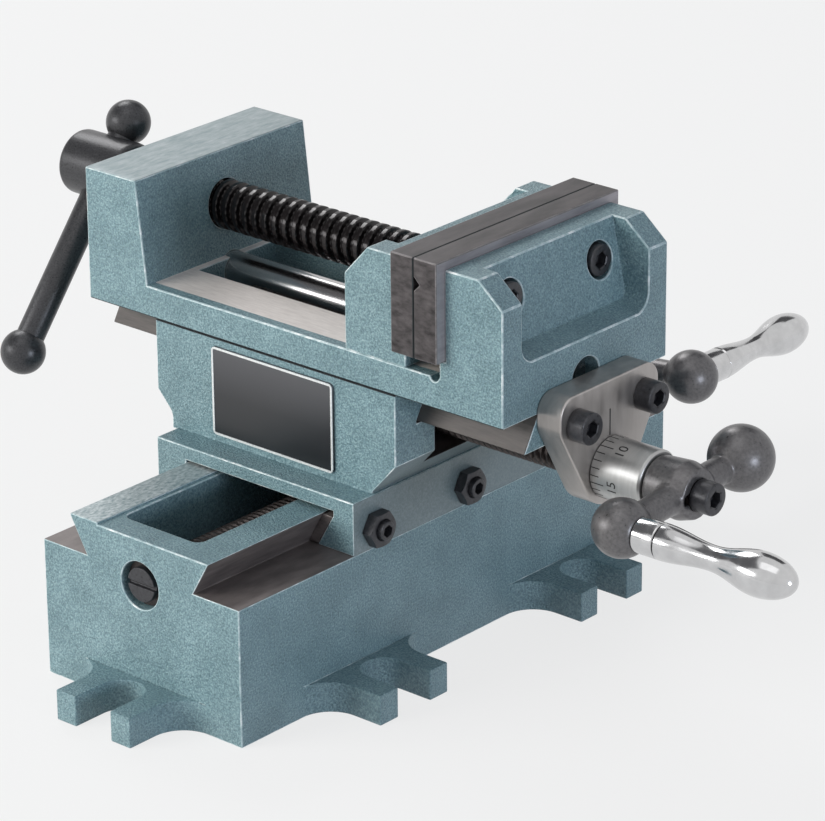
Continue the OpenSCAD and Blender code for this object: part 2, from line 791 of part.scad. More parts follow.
// The nut on the saddle's channel floor, with an ear on each side.
module cross_feed_nut() {
    color(bronze) at_saddle() difference() {
        union() {
            block([-nut_l / 2, -nut_side, channel_z], [nut_l / 2, nut_side, cross_z + feed_d / 2 + nut_wall]);
            block([-nut_l / 4, -ear_w, channel_z], [nut_l / 4, ear_w, channel_z + ear_h]);
        }
        translate([0, 0, cross_z]) rod_x(feed_d + 2 * fit, -nut_l, nut_l);
        for (s = [-1, 1]) {
            translate([0, s * ear_screw_y, channel_z - eps]) cylinder(d = small_d + 2 * screw_gap, h = ear_h + 2 * eps);
            translate([0, s * ear_screw_y, channel_z + ear_h]) cylinder(d = small_head_d + eps, h = channel_h);
        }
    }
}

module cross_nut_screws() {
    color(black) at_saddle() for (s = [-1, 1])
        translate([0, s * ear_screw_y, channel_z + ear_h]) socket_screw(small_d, ear_h + small_d);
}

module nameplate() {
    tag_z = (flange_z + body_z) / 2;
    color(black) at_saddle() translate([0, -half_w - tag_t / 2, tag_z]) along_y(tag_t)
        rounded_square(tag_w, tag_h, tag_r);
}

// Vise body

// Side view of the vise body from tail to nose.
module body_outline() {
    polygon([[tail_x, body_z], [nose_x, body_z], [nose_x, jaw_z - bevel_z], [nose_x - bevel_x, jaw_z],
        [fixed_x, jaw_z], [fixed_x, plate_z], [fixed_x - ledge, plate_z], [fixed_x - ledge, bed_z],
        [upright_x, bed_z], [upright_x - upright_taper, bed_z + upright_h], [tail_x, bed_z + upright_h]]);
}

// The pocket behind a jaw, its wall leaning out towards the foot. The jaw's face is at x = 0 and its back at x = t.
module jaw_pocket(t) {
    foot_z = bed_z + jaw_foot;
    pocket_w = vise_w - 2 * jaw_rib;
    pocket_h = 2 * jaw_h;
    fall = 3;
    intersection() {
        along_y(pocket_w) polygon([[wall_top, jaw_z + eps], [wall_top, jaw_z], [wall_foot, foot_z + fall],
            [t + eps, foot_z], [t + eps, jaw_z + eps]]);
        translate([0, 0, foot_z + pocket_h / 2]) along_x(4 * t) rounded_square(pocket_w, pocket_h, pocket_r);
    }
}

// Seat depth of the plate screws' heads behind the jaw face.
plate_screw_seat = 6;

// Holes for a jaw plate's two screws, through the wall behind the jaw face at x = 0.
module plate_screw_holes(t) {
    for (s = [-1, 1]) translate([0, s * plate_screw_pitch / 2, plate_screw_z]) {
        rod_x(cap_d + 2 * screw_gap, -eps, t);
        rod_x(head_size(cap_d) + 2 * eps, plate_screw_seat, t);
    }
}

module plate_screws() {
    color(black) for (s = [-1, 1]) translate([plate_screw_seat, s * plate_screw_pitch / 2, plate_screw_z])
        to_x() socket_screw(cap_d, plate_screw_seat + 0.6 * plate_t);
}

bracket_screw_z = body_z - bracket_screw_drop;
rod_bore_d = rod_d + 2 * fit;
mouth_deep = 2;
slot_back = 3;
slot_x0 = upright_x + slot_back;
relief_x = fixed_x - ledge - relief / 2 - 2 * seat_gap;

module vise_casting() {
    color(paint) at_saddle() difference() {
        union() {
            along_y(vise_w) body_outline();
            translate([body_at, 0, 0]) along_x(vise_l) translate([0, body_z]) mirror([0, 1]) dovetail();
        }
        block([slot_x0, -slot_w / 2, slot_z], [relief_x, slot_w / 2, jaw_z]);
        translate([relief_x, 0, bed_z]) along_y(2 * vise_w) circle(d = relief);
        translate([fixed_x, 0, 0]) {
            jaw_pocket(fixed_t);
            plate_screw_holes(fixed_t);
        }
        translate([0, 0, spindle_z]) rod_x(spindle_d + 2 * fit, tail_x - eps, upright_x + eps);
        translate([0, 0, rod_z]) {
            rod_x(rod_bore_d, upright_x - rod_seat, nose_x + eps);
            rod_x(rod_mouth_d, nose_x - rod_recess - mouth_deep, nose_x + eps);
        }
        for (s = [-1, 1]) translate([0, s * bracket_pitch / 2, bracket_screw_z])
            rod_x(cap_d + 2 * fit, nose_x - 2.5 * cap_d, nose_x + eps);
    }
}

module guide_rod() {
    color(polished) at_saddle() translate([0, 0, rod_z])
        rod_x(rod_d, upright_x - rod_seat + seat_gap, nose_x - rod_recess);
}

// A hardened jaw plate, its back on x = 0 and its face at x = -plate_t.
module jaw_plate() {
    difference() {
        block([-plate_t, -plate_l / 2, plate_z], [0, plate_l / 2, plate_z + plate_h]);
        for (s = [-1, 1]) translate([0, s * plate_screw_pitch / 2, plate_screw_z])
            rod_x(cap_d + 2 * fit, -0.75 * plate_t, eps);
    }
}

module fixed_jaw_plate() {
    vee_z = plate_z + plate_h - vee_drop;
    color(bare_iron) at_saddle() translate([fixed_x, 0, 0]) difference() {
        jaw_plate();
        translate([-plate_t, 0, vee_z]) along_y(2 * plate_l)
            polygon([[-eps, vee_depth + eps], [-eps, -vee_depth - eps], [vee_depth, 0]]);
    }
}

module fixed_plate_screws() { at_saddle() translate([fixed_x, 0, 0]) plate_screws(); }

module screw_bracket() {
    top_z = body_z + bracket_rise - bracket_r;
    corner_y = bracket_w / 2 - bracket_r;
    color(steel) at_saddle() difference() {
        translate([nose_x + bracket_t / 2, 0, 0]) along_x(bracket_t)
            wrapped_circles([[0, cross_z, bracket_foot_r], [corner_y, bracket_screw_z, bracket_r],
                [corner_y, top_z, bracket_r], [-corner_y, top_z, bracket_r], [-corner_y, bracket_screw_z, bracket_r]]);
        translate([0, 0, cross_z]) rod_x(feed_journal_d + 2 * fit, nose_x - eps, bracket_x + eps);
        for (s = [-1, 1]) translate([0, s * bracket_pitch / 2, bracket_screw_z])
            rod_x(cap_d + 2 * screw_gap, nose_x - eps, bracket_x + eps);
    }
}

module bracket_screws() {
    color(black) at_saddle() for (s = [-1, 1])
        translate([bracket_x, s * bracket_pitch / 2, bracket_screw_z]) to_x()
            socket_screw(cap_d, bracket_t + 1.5 * cap_d);
}

module cross_leadscrew() { color(steel) on_bracket() feed_screw(cross_thread_l, bracket_t); }
module cross_dial() { on_bracket() dial(); }
module cross_dial_screw() { on_bracket() dial_screw(); }
module cross_crank() { on_bracket() crank(); }
module cross_crank_key() { on_bracket() crank_key(); }
module cross_crank_screw() { on_bracket() crank_screw(); }
module cross_handle_stud() { on_bracket() handle_stud(); }
module cross_grip() { on_bracket() grip(); }

// Movable jaw

keel_in = 4;
keel_gap = 2;
pin_out = 0.4;
pin_gap = 0.15;
pin_x = thread_end_x + journal_l / 2;
pin_y = journal_d / 2 + pin_out;
jaw_bevel_z = 1.3 * bevel_z;

module jaw_outline() {
    foot_z = bed_z + slide_gap;
    polygon([[jaw_back_x, foot_z], [jaw_x + ledge, foot_z], [jaw_x + ledge, plate_z], [jaw_x, plate_z],
        [jaw_x, jaw_z], [jaw_back_x + bevel_x, jaw_z], [jaw_back_x, jaw_z - jaw_bevel_z]]);
}

module movable_jaw() {
    color(paint) at_saddle() difference() {
        union() {
            difference() {
                along_y(vise_w) jaw_outline();
                translate([jaw_x, 0, 0]) mirror([1, 0, 0]) jaw_pocket(jaw_t);
            }
            intersection() {
                translate([0, 0, spindle_z]) rod_x(boss_d, thread_end_x + seat_gap, jaw_x);
                along_y(vise_w) jaw_outline();
            }
            block([jaw_back_x + keel_in, -slot_w / 2 + slide_gap, slot_z + keel_gap],
                [jaw_x - keel_in, slot_w / 2 - slide_gap, bed_z + keel_gap]);
        }
        translate([jaw_x, 0, 0]) mirror([1, 0, 0]) plate_screw_holes(jaw_t);
        translate([0, 0, spindle_z])
            rod_x(journal_d + 2 * fit, thread_end_x - eps, thread_end_x + journal_l + 2 * seat_gap);
        translate([pin_x, pin_y, spindle_z - boss_d / 4]) cylinder(d = pin_d + 2 * fit, h = boss_d);
        translate([0, 0, rod_z]) rod_x(rod_bore_d, jaw_back_x - eps, jaw_x + ledge + eps);
    }
}

module movable_jaw_plate() {
    color(bare_iron) at_saddle() translate([jaw_x, 0, 0]) mirror([1, 0, 0]) jaw_plate();
}

module movable_plate_screws() { at_saddle() translate([jaw_x, 0, 0]) mirror([1, 0, 0]) plate_screws(); }

// The pin through the boss that runs in the journal's groove.
module spindle_pin() {
    low = spindle_z - boss_d / 4 + seat_gap;
    color(steel) at_saddle() translate([pin_x, pin_y, low]) cylinder(d = pin_d, h = spindle_z + 0.38 * boss_d - low);
}

// Spindle and tommy bar

bar_x = head_x - head_l / 2;

module at_spindle() { translate([0, saddle_at, spindle_z]) children(); }
module along_bar() { at_spindle() translate([bar_x, 0, 0]) rotate([-bar_tilt, 0, 0]) children(); }

module spindle() {
    edge = 2;
    groove_d = 2 * (pin_y - pin_d / 2 - pin_gap);
    color(black) difference() {
        at_spindle() {
            rod_x(head_d, head_x - head_l + edge, head_x - edge);
            translate([head_x - head_l, 0, 0]) to_x() cylinder(d1 = head_d - 2 * edge, d2 = head_d, h = edge);
            translate([head_x - edge, 0, 0]) to_x() cylinder(d1 = head_d, d2 = head_d - 2 * edge, h = edge);
            rod_x(spindle_d, head_x - eps, thread_end_x);
            rod_x(journal_d, thread_end_x - eps, pin_x - pin_d / 2 - fit);
            rod_x(groove_d, thread_end_x - eps, thread_end_x + journal_l);
            rod_x(journal_d, pin_x + pin_d / 2 + fit, thread_end_x + journal_l);
        }
        along_bar() cylinder(d = bar_d + 2 * fit, h = 2 * head_d, center = true);
    }
}

spigot_d = 0.7 * bar_d;

module tommy_bar() {
    spigot_l = ball_flat + 0.2 * ball_d;
    color(black) along_bar() {
        translate([0, 0, bar_low + ball_flat]) cylinder(d = bar_d, h = bar_l - 2 * ball_flat);
        translate([0, 0, bar_low + ball_flat - spigot_l]) cylinder(d = spigot_d, h = bar_l - 2 * ball_flat + 2 * spigot_l);
    }
}

// A ball with a flat and a blind hole for the bar's end, the flat facing up.
module bar_ball() {
    color(black) difference() {
        sphere(d = ball_d);
        translate([0, 0, ball_flat]) cylinder(d = ball_d, h = ball_d);
        translate([0, 0, -0.2 * ball_d - seat_gap]) cylinder(d = spigot_d + 2 * fit, h = ball_d);
    }
}

module upper_ball() { along_bar() translate([0, 0, bar_high]) mirror([0, 0, 1]) bar_ball(); }
module lower_ball() { along_bar() translate([0, 0, bar_low]) bar_ball(); }

base_casting();
base_leadscrew();
base_end_washer();
base_end_screw();
base_dial();
base_dial_screw();
base_crank();
base_crank_key();
base_crank_screw();
base_handle_stud();
base_grip();
saddle_casting();
lower_gib();
lower_gib_screws();
lower_gib_nuts();
upper_gib();
upper_gib_screws();
upper_gib_nuts();
base_feed_nut();
base_nut_screws();
cross_feed_nut();
cross_nut_screws();
nameplate();
vise_casting();
fixed_jaw_plate();
fixed_plate_screws();
guide_rod();
screw_bracket();
bracket_screws();
cross_leadscrew();
cross_dial();
cross_dial_screw();
cross_crank();
cross_crank_key();
cross_crank_screw();
cross_handle_stud();
cross_grip();
movable_jaw();
movable_jaw_plate();
movable_plate_screws();
spindle_pin();
spindle();
tommy_bar();
upper_ball();
lower_ball();
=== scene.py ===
# %% [markdown]
# # A cross slide vise in Blender
# The vise stands on a drill press table: a base, a saddle and a vise body, stacked as two crossed dovetail
# slides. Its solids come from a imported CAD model, so every place below is in that model's frame: X runs along
# the vise body towards the fixed jaw, Y along the base towards its crank, and Z is up. This lesson dresses the
# solids: rounded edges, threads, dials, polished handles and hammered paint.

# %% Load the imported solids
import json
import math

import bmesh
import bpy
from mathutils import Matrix, Vector
from mathutils.bvhtree import BVHTree


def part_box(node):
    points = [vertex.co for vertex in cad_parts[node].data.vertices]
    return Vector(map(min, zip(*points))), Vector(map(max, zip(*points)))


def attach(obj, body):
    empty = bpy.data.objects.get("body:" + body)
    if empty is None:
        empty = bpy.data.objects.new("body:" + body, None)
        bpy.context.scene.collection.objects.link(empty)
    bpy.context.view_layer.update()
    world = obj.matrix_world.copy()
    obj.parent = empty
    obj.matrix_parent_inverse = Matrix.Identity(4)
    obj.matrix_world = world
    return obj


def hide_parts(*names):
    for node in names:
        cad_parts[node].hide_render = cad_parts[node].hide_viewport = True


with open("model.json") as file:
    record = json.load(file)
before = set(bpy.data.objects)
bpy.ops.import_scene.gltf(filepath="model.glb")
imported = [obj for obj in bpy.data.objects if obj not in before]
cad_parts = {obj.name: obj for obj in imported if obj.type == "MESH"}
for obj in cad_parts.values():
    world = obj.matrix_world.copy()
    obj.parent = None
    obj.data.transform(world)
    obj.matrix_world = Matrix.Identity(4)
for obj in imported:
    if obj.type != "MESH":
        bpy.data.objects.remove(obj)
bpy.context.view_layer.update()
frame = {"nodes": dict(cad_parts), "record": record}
nodes = frame["nodes"]
bodies = frame["record"]["behaviour"]["bodies"]
body_of = {node: body for body, members in bodies.items() for node in members}
MM = 0.001
print("solids:", len(nodes), "bodies:", len(bodies))

# %% [markdown]
# ## Camera
# The photograph was taken with a long lens from the right of the vise's near end. The place, tilt and focal
# length below come from fitting the known corners of the castings to the picture. A long lens keeps parallel
# edges almost parallel, so the focal length matters as much as the place.

# %% Camera
IMAGE_WIDTH = 825
SENSOR = 36.0
FOCAL_PIXELS = 4371.84
CAMERA_AT = Vector((1.09912, -1.22036, 0.76164))
LOOKING_BACK = Vector((0.6104, -0.6946, 0.3807)).normalized()
ROLL = math.radians(-0.52)

level = Vector((0, 0, 1)).cross(LOOKING_BACK).normalized()
upright = LOOKING_BACK.cross(level)
right = math.cos(ROLL) * level + math.sin(ROLL) * upright
up = math.cos(ROLL) * upright - math.sin(ROLL) * level
lens = bpy.data.cameras.new("camera")
lens.sensor_width = SENSOR
lens.sensor_fit = "HORIZONTAL"
lens.lens = FOCAL_PIXELS * SENSOR / IMAGE_WIDTH
camera = bpy.data.objects.new("camera", lens)
camera.matrix_world = Matrix.Translation(CAMERA_AT) @ Matrix((right, up, LOOKING_BACK)).transposed().to_4x4()
scene = bpy.context.scene
scene.collection.objects.link(camera)
scene.camera = camera
scene.view_settings.view_transform = "Standard"
print("lens:", round(lens.lens, 1), "mm")

# %% [markdown]
# ## Nodes and colours
# A few small helpers serve every material. The first turns an sRGB hex code into the linear numbers that Blender
# works with, and the second adds a node with its settings and links. Patterns read Object coordinates, which are
# metres here, so a pattern that repeats every 2 mm has a scale of 1 / 0.002.

# %% Helpers for materials
def linear(code):
    channels = [int(code[i:i + 2], 16) / 255 for i in (1, 3, 5)]
    return tuple(c / 12.92 if c <= 0.04045 else ((c + 0.055) / 1.055) ** 2.4 for c in channels) + (1.0,)


def add(tree, kind, inputs=None, **settings):
    made = tree.nodes.new(kind)
    for key, value in settings.items():
        setattr(made, key, value)
    for key, value in (inputs or {}).items():
        if isinstance(value, bpy.types.NodeSocket):
            tree.links.new(value, made.inputs[key])
        else:
            made.inputs[key].default_value = value
    return made


def calc(tree, operation, a, b=0.0):
    return add(tree, "ShaderNodeMath", {0: a, 1: b}, operation=operation).outputs[0]


def bare_tree(owner):
    owner.use_nodes = True
    owner.node_tree.nodes.clear()
    return owner.node_tree


def per_mm(size):
    return 1 / (size * MM)


def new_finish(name, **shader_inputs):
    finish = bpy.data.materials.new(name)
    finish.use_nodes = True
    tree = finish.node_tree
    shader = tree.nodes["Principled BSDF"]
    for key, value in shader_inputs.items():
        shader.inputs[key.replace("_", " ")].default_value = value
    place = add(tree, "ShaderNodeTexCoord").outputs["Object"]
    return finish, tree, shader, place


def ramp(tree, factor, *stops):
    made = add(tree, "ShaderNodeValToRGB", {"Fac": factor})
    elements = made.color_ramp.elements
    while len(elements) < len(stops):
        elements.new(0.5)
    for element, (at, code) in zip(elements, stops):
        element.position = at
        element.color = linear(code)
    return made.outputs["Color"]


MIX_A, MIX_B, MIX_OUT = 6, 7, 2  # a Mix node's colour sockets, by number because their names repeat

# %% [markdown]
# ## Hammered enamel on the castings
# The castings wear a blue-green hammered enamel: the paint pulls itself into small dimples with paler and darker
# specks, a millimetre or two across, over a slower cloudiness. Two noises make the colour, and the finer one
# also drives the bump, so that specks and dimples agree. Where an edge is rounded, the paint has thinned and
# been rubbed, so the bevel strips get a finish of their own: paler enamel with bright iron showing in places,
# and its near-white spots are partly a painted highlight along the edges.

# %% Enamel
SPECK = 0.8
CLOUD = 16.0


def enamel_coat(name, dark, middle, light, relief):
    finish, tree, shader, place = new_finish(name, Roughness=0.4, Coat_Weight=0.12, Coat_Roughness=0.25)
    speck = add(tree, "ShaderNodeTexNoise", {"Vector": place, "Scale": per_mm(SPECK), "Detail": 3.0})
    cloud = add(tree, "ShaderNodeTexNoise", {"Vector": place, "Scale": per_mm(CLOUD), "Detail": 2.0})
    speckled = ramp(tree, speck.outputs["Fac"], (0.28, dark), (0.5, middle), (0.72, light))
    clouded = ramp(tree, cloud.outputs["Fac"], (0.3, "#e2e6e7"), (0.7, "#ffffff"))
    colour = add(tree, "ShaderNodeMix", {0: 1.0, MIX_A: speckled, MIX_B: clouded}, data_type="RGBA",
                 blend_type="MULTIPLY")
    tree.links.new(colour.outputs[MIX_OUT], shader.inputs["Base Color"])
    bump = add(tree, "ShaderNodeBump", {"Height": speck.outputs["Fac"], "Strength": relief, "Distance": 0.7 * MM})
    tree.links.new(bump.outputs["Normal"], shader.inputs["Normal"])
    return finish


enamel = enamel_coat("hammered_enamel", "#5a7780", "#7b98a0", "#9db8be", 1.1)
thin_enamel = enamel_coat("thin_enamel", "#6e7c80", "#79878a", "#869396", 0.12)

# Bevel strips: rubbed enamel with bright iron, its near-white spots partly a painted highlight along the edges.
worn_edge_and_highlight, tree, shader, place = new_finish("rubbed_enamel_edge", Roughness=0.28)
rub = add(tree, "ShaderNodeTexNoise", {"Vector": place, "Scale": per_mm(6.0), "Detail": 5.0, "Roughness": 0.7})
tree.links.new(ramp(tree, rub.outputs["Fac"], (0.33, "#86a2a9"), (0.5, "#b2c5c9"), (0.64, "#e9eeef")),
               shader.inputs["Base Color"])

worn_top, tree, shader, place = new_finish("rubbed_enamel_top", Roughness=0.36, Metallic=0.35)
along = add(tree, "ShaderNodeMapping", {"Vector": place, "Scale": (1.0, 0.25, 1.0)})
rub = add(tree, "ShaderNodeTexNoise", {"Vector": along.outputs["Vector"], "Scale": per_mm(2.5), "Detail": 6.0,
                                       "Roughness": 0.7})
tree.links.new(ramp(tree, rub.outputs["Fac"], (0.32, "#7b8c90"), (0.5, "#929fa2"), (0.64, "#a6afb2"),
                    (0.76, "#d4d9da")), shader.inputs["Base Color"])
print("finishes:", enamel.name, worn_edge_and_highlight.name, worn_top.name)

# %% [markdown]
# ## Bare metal
# Bare faces differ by how they were cut. The bed is milled, so it is pale with fine marks along the cut. The
# dovetail ways are oiled grey iron, darker and streaked along their travel. Ground jaw plates are dark with
# scratches. Turned parts have rings that follow the tool. A stretched noise gives each of these its grain.

# %% Bare metal
def grained(name, grain, stretch, low, high, metallic, roughness, bump_mm=0.02, detail=5.0, spread=0.07):
    finish, tree, shader, place = new_finish(name, Metallic=metallic)
    pulled = add(tree, "ShaderNodeMapping", {"Vector": place, "Scale": stretch})
    noise = add(tree, "ShaderNodeTexNoise", {"Vector": pulled.outputs["Vector"], "Scale": per_mm(grain),
                                             "Detail": detail, "Roughness": 0.6})
    tree.links.new(ramp(tree, noise.outputs["Fac"], (0.3, low), (0.7, high)), shader.inputs["Base Color"])
    rough = add(tree, "ShaderNodeMapRange", {"Value": noise.outputs["Fac"], "From Min": 0.3, "From Max": 0.7,
                                             "To Min": roughness - spread, "To Max": roughness + spread})
    tree.links.new(rough.outputs["Result"], shader.inputs["Roughness"])
    bump = add(tree, "ShaderNodeBump", {"Height": noise.outputs["Fac"], "Strength": 0.5, "Distance": bump_mm * MM})
    tree.links.new(bump.outputs["Normal"], shader.inputs["Normal"])
    return finish


# Each line says: grain in mm, stretch, dark and light colour, metallic, roughness, then relief in mm.
milled_iron = grained("milled_iron", 1.0, (0.15, 1.0, 1.0), "#d8cfca", "#ece4df", 0.1, 0.42)
oiled_iron = grained("oiled_iron", 1.4, (0.3, 0.1, 1.0), "#655e5d", "#857d7b", 0.4, 0.42)
flank_iron = grained("milled_flank", 1.4, (0.12, 1.0, 1.0), "#4a4746", "#625d5b", 0.3, 0.45)
scraped_iron = grained("scraped_iron", 1.1, (1.0, 0.5, 1.0), "#6f8489", "#cdd3d4", 0.3, 0.4, 0.15)
jaw_steel = grained("ground_jaw_steel", 3.0, (0.5, 0.16, 1.0), "#262223", "#5e595a", 0.35, 0.45, 0.03)
jaw_back = grained("ground_jaw_back", 3.0, (1.0, 0.16, 1.0), "#8d878a", "#a8a2a5", 0.3, 0.4, 0.02)
jaw_edge = grained("ground_jaw_edge", 2.0, (0.5, 0.3, 1.0), "#625e5f", "#858182", 0.5, 0.38, 0.02)
satin_steel = grained("satin_steel", 2.5, (1.0, 0.5, 0.12), "#a29d9a", "#b3aeab", 0.8, 0.36, 0.004)
turned_steel = grained("turned_steel", 1.5, (1.0, 0.08, 0.08), "#adadac", "#b9b9b8", 0.8, 0.36, 0.002, 5.0, 0.02)
cast_iron = grained("crank_casting", 1.3, (1.0, 1.0, 1.0), "#5b595a", "#737172", 0.55, 0.34, 0.08)
screw_steel = grained("feed_screw_steel", 1.0, (1.0, 1.0, 1.0), "#3f3a39", "#57504e", 0.7, 0.42)
bronze = grained("feed_nut_bronze", 1.5, (1.0, 1.0, 1.0), "#8a6a35", "#ab8648", 0.9, 0.35)
# The dark gap finish is painted shade: dark colour on bevel strips in grooves between parts, where shade falls.
gap_shade_finish = grained("oily_gap", 2.0, (0.3, 1.0, 1.0), "#15191b", "#252b2e", 0.0, 0.6)
print("bare metals made")

# %% [markdown]
# ## Black and bright parts
# Screws, nuts, spindle and tommy bar are blackened steel: a thin dark oxide over metal, satin on the bar and
# oily on the spindle, where every crest shows a highlight. Rod, collars and grips are polished, so their look is
# all reflection, and a slight unevenness keeps it from looking like glass.

# %% Black and bright parts
black_steel = grained("black_oxide", 1.4, (1.0, 1.0, 1.0), "#2c2c2f", "#424246", 0.3, 0.34, 0.02)
bar_black = grained("black_bar", 0.7, (1.0, 1.0, 1.0), "#2b2b2d", "#48484b", 0.35, 0.33, 0.06)
spindle_black = grained("oiled_black_thread", 3.0, (1.0, 1.0, 1.0), "#161314", "#221d1e", 0.4, 0.17, 0.005)
polished = grained("polished_steel", 6.0, (1.0, 1.0, 1.0), "#c4c4c5", "#d2d2d3", 1.0, 0.15, 0.004, 2.0)
ground_rod = grained("ground_rod", 4.0, (0.1, 1.0, 1.0), "#b2b0b0", "#c6c4c4", 1.0, 0.22, 0.003, 3.0)
ink = grained("engraved_black", 1.0, (1.0, 1.0, 1.0), "#1d1d1e", "#333334", 0.0, 0.6)
tag_frame = grained("stamped_aluminium", 1.0, (1.0, 1.0, 1.0), "#d3d6d7", "#eef0f0", 0.3, 0.35)

# The plate's black grows lighter towards its top: a painted reflection, darker towards the bottom.
REFLECTION_LOW, REFLECTION_HIGH = 0.085, 0.122
tag_black_painted_reflection, tree, shader, place = new_finish("anodised_black_plate", Roughness=0.3)
split = add(tree, "ShaderNodeSeparateXYZ", {"Vector": place})
reflection_fade = add(tree, "ShaderNodeMapRange", {"Value": split.outputs["Z"], "From Min": REFLECTION_LOW,
                                        "From Max": REFLECTION_HIGH})
tree.links.new(ramp(tree, reflection_fade.outputs["Result"], (0.0, "#1d2023"), (0.45, "#2c2d30"), (1.0, "#505054")),
               shader.inputs["Base Color"])
print("black and bright parts made")

# %% [markdown]
# ## Edges
# The solids have perfectly sharp edges, which no casting has. A copy of each solid is welded, its flat faces are
# dissolved into single polygons, and each sharp edge is bevelled. The bevel strip can take a finish of its own.
# A sorting function may give a face another finish by its place and direction, such as a milled bed.

# %% Helpers for dressed solids
SHARP, CREASE = math.radians(28), math.radians(50)
WELD, FLAT = 0.002 * MM, math.radians(0.4)


def stands_for(piece, node):
    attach(piece, body_of[node])
    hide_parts(node)
    return piece


def to_object(name, mesh):
    piece = bpy.data.objects.new(name, mesh)
    scene.collection.objects.link(piece)
    return piece


def finished_mesh(name, work, *finishes):
    mesh = bpy.data.meshes.new(name)
    work.to_mesh(mesh)
    work.free()
    for finish in finishes:
        mesh.materials.append(finish)
    return mesh


def shade(mesh, angle=SHARP):
    mesh.polygons.foreach_set("use_smooth", [True] * len(mesh.polygons))
    mesh.set_sharp_from_angle(angle=angle)


def flatten(piece):
    evaluated = piece.evaluated_get(bpy.context.evaluated_depsgraph_get())
    mesh = bpy.data.meshes.new_from_object(evaluated)
    piece.modifiers.clear()
    old, piece.data = piece.data, mesh
    bpy.data.meshes.remove(old)
    mesh.name = piece.name


def weigh_normals(piece):
    piece.modifiers.new("normals", "WEIGHTED_NORMAL").keep_sharp = True
    flatten(piece)


def solid_copy(node):
    work = bmesh.new()
    work.from_mesh(nodes[node].data)
    bmesh.ops.remove_doubles(work, verts=work.verts, dist=WELD)
    bmesh.ops.dissolve_limit(work, angle_limit=FLAT, verts=work.verts, edges=work.edges)
    return work


def dressed(node, width, finishes, edge=None, sort=None, cuts=(), convex=False):
    work = solid_copy(node)
    before = BVHTree.FromBMesh(work)
    for point, normal in cuts:
        bmesh.ops.bisect_plane(work, geom=work.verts[:] + work.edges[:] + work.faces[:],
                               plane_co=Vector(point) * MM, plane_no=normal)
    if convex:  # a face with a notch is split, so that the bevel can't fold it over
        bmesh.ops.connect_verts_concave(work, faces=work.faces[:])
    for face in work.faces:
        face.material_index = sort(face.calc_center_median() / MM, face.normal) if sort else 0
    sharp = [e for e in work.edges if len(e.link_faces) == 2 and e.calc_face_angle(0) > SHARP]
    rounded = bmesh.ops.bevel(work, geom=sharp, offset=width * MM, offset_type="OFFSET", segments=2, profile=0.5,
                              affect="EDGES", clamp_overlap=False, material=-1)
    for face in rounded["faces"]:
        middle = face.calc_center_median()
        nearest, normal, *_ = before.find_nearest(middle)
        outer = (middle - nearest).dot(normal) < 0  # the strip of an inner corner lies outside the old solid
        if edge and outer:
            face.material_index = edge(middle / MM, face.material_index)
    mesh = finished_mesh(node, work, *finishes)
    shade(mesh, CREASE)
    piece = to_object("dressed_" + node, mesh)
    weigh_normals(piece)
    return stands_for(piece, node)


# %% [markdown]
# ## The four castings
# Base, saddle, vise body and movable jaw are castings. Their slides, bed and some sides are milled bare. The
# bed's milled strip stops short of the painted rim, so the bed face is cut along that line first. Each sorting
# function gets a face's middle in mm and its normal, and answers with the number of a finish.

# %% Castings
WAY, DOVE_TOP, FLANGE, BODY, BED, UPRIGHT_TOP = 58.5, 73.0, 81.0, 125.5, 138.6, 182.2
SADDLE_Y, HALF_BODY, RIM = -3.0, 50.0, 5.0
HALF_BASE, HALF_LENGTH, LUG_TOP = 53.0, 131.2, 20.0
HALF_DOVE, SADDLE_SIDE, WAIST_TOP = 26.0, 50.0, 95.0
INSIDE_X, INSIDE_TOP = 45.0, 76.0
PAINT, OILED, WORN_AND_HIGHLIT, SHADED_GAP, OWN, TOP, FLANK = range(7)


def base_faces(at, normal):
    if normal.z > 0.9 and at.z > DOVE_TOP + 0.5:
        return OWN
    on_flank = WAY - 0.2 < at.z < DOVE_TOP and abs(normal.y) < 0.3 and abs(at.x) > HALF_DOVE
    return OILED if (normal.z > 0.9 and abs(at.z - WAY) < 0.3) or on_flank else PAINT


def saddle_faces(at, normal):
    if normal.x > 0.6 and at.x > SADDLE_SIDE and at.z < WAIST_TOP:
        return OWN
    below = abs(at.x) < INSIDE_X and at.z < INSIDE_TOP
    inside = below or (at.z > FLANGE and abs(at.y - SADDLE_Y) < HALF_BODY - 1)
    return OILED if inside and max(abs(normal.x), abs(normal.y)) < 0.95 else PAINT


def body_faces(at, normal):
    if normal.z > 0.9 and abs(at.z - BED) < 0.2 and abs(at.y - SADDLE_Y) < HALF_BODY - RIM:
        return OWN
    if normal.z > 0.9 and abs(at.z - UPRIGHT_TOP) < 0.5:
        return TOP
    if at.z < BODY - 1 and abs(normal.x) < 0.9:
        return FLANK if abs(normal.z) < 0.8 else OILED
    return PAINT


def worn_paint(at, finish):
    # bevel strips along the body's lower edge, near and far sides, get painted shade for the groove above the saddle
    if abs(at.z - BODY) < 1.2 and abs(at.y - SADDLE_Y) > HALF_BODY - 2:
        return SHADED_GAP
    on_lug = at.z < LUG_TOP and (abs(at.x) > HALF_BASE or at.y < -HALF_LENGTH)
    # other painted edges get rubbed paint with painted highlight; lug edges keep the plain enamel
    return WORN_AND_HIGHLIT if finish == PAINT and not on_lug else finish


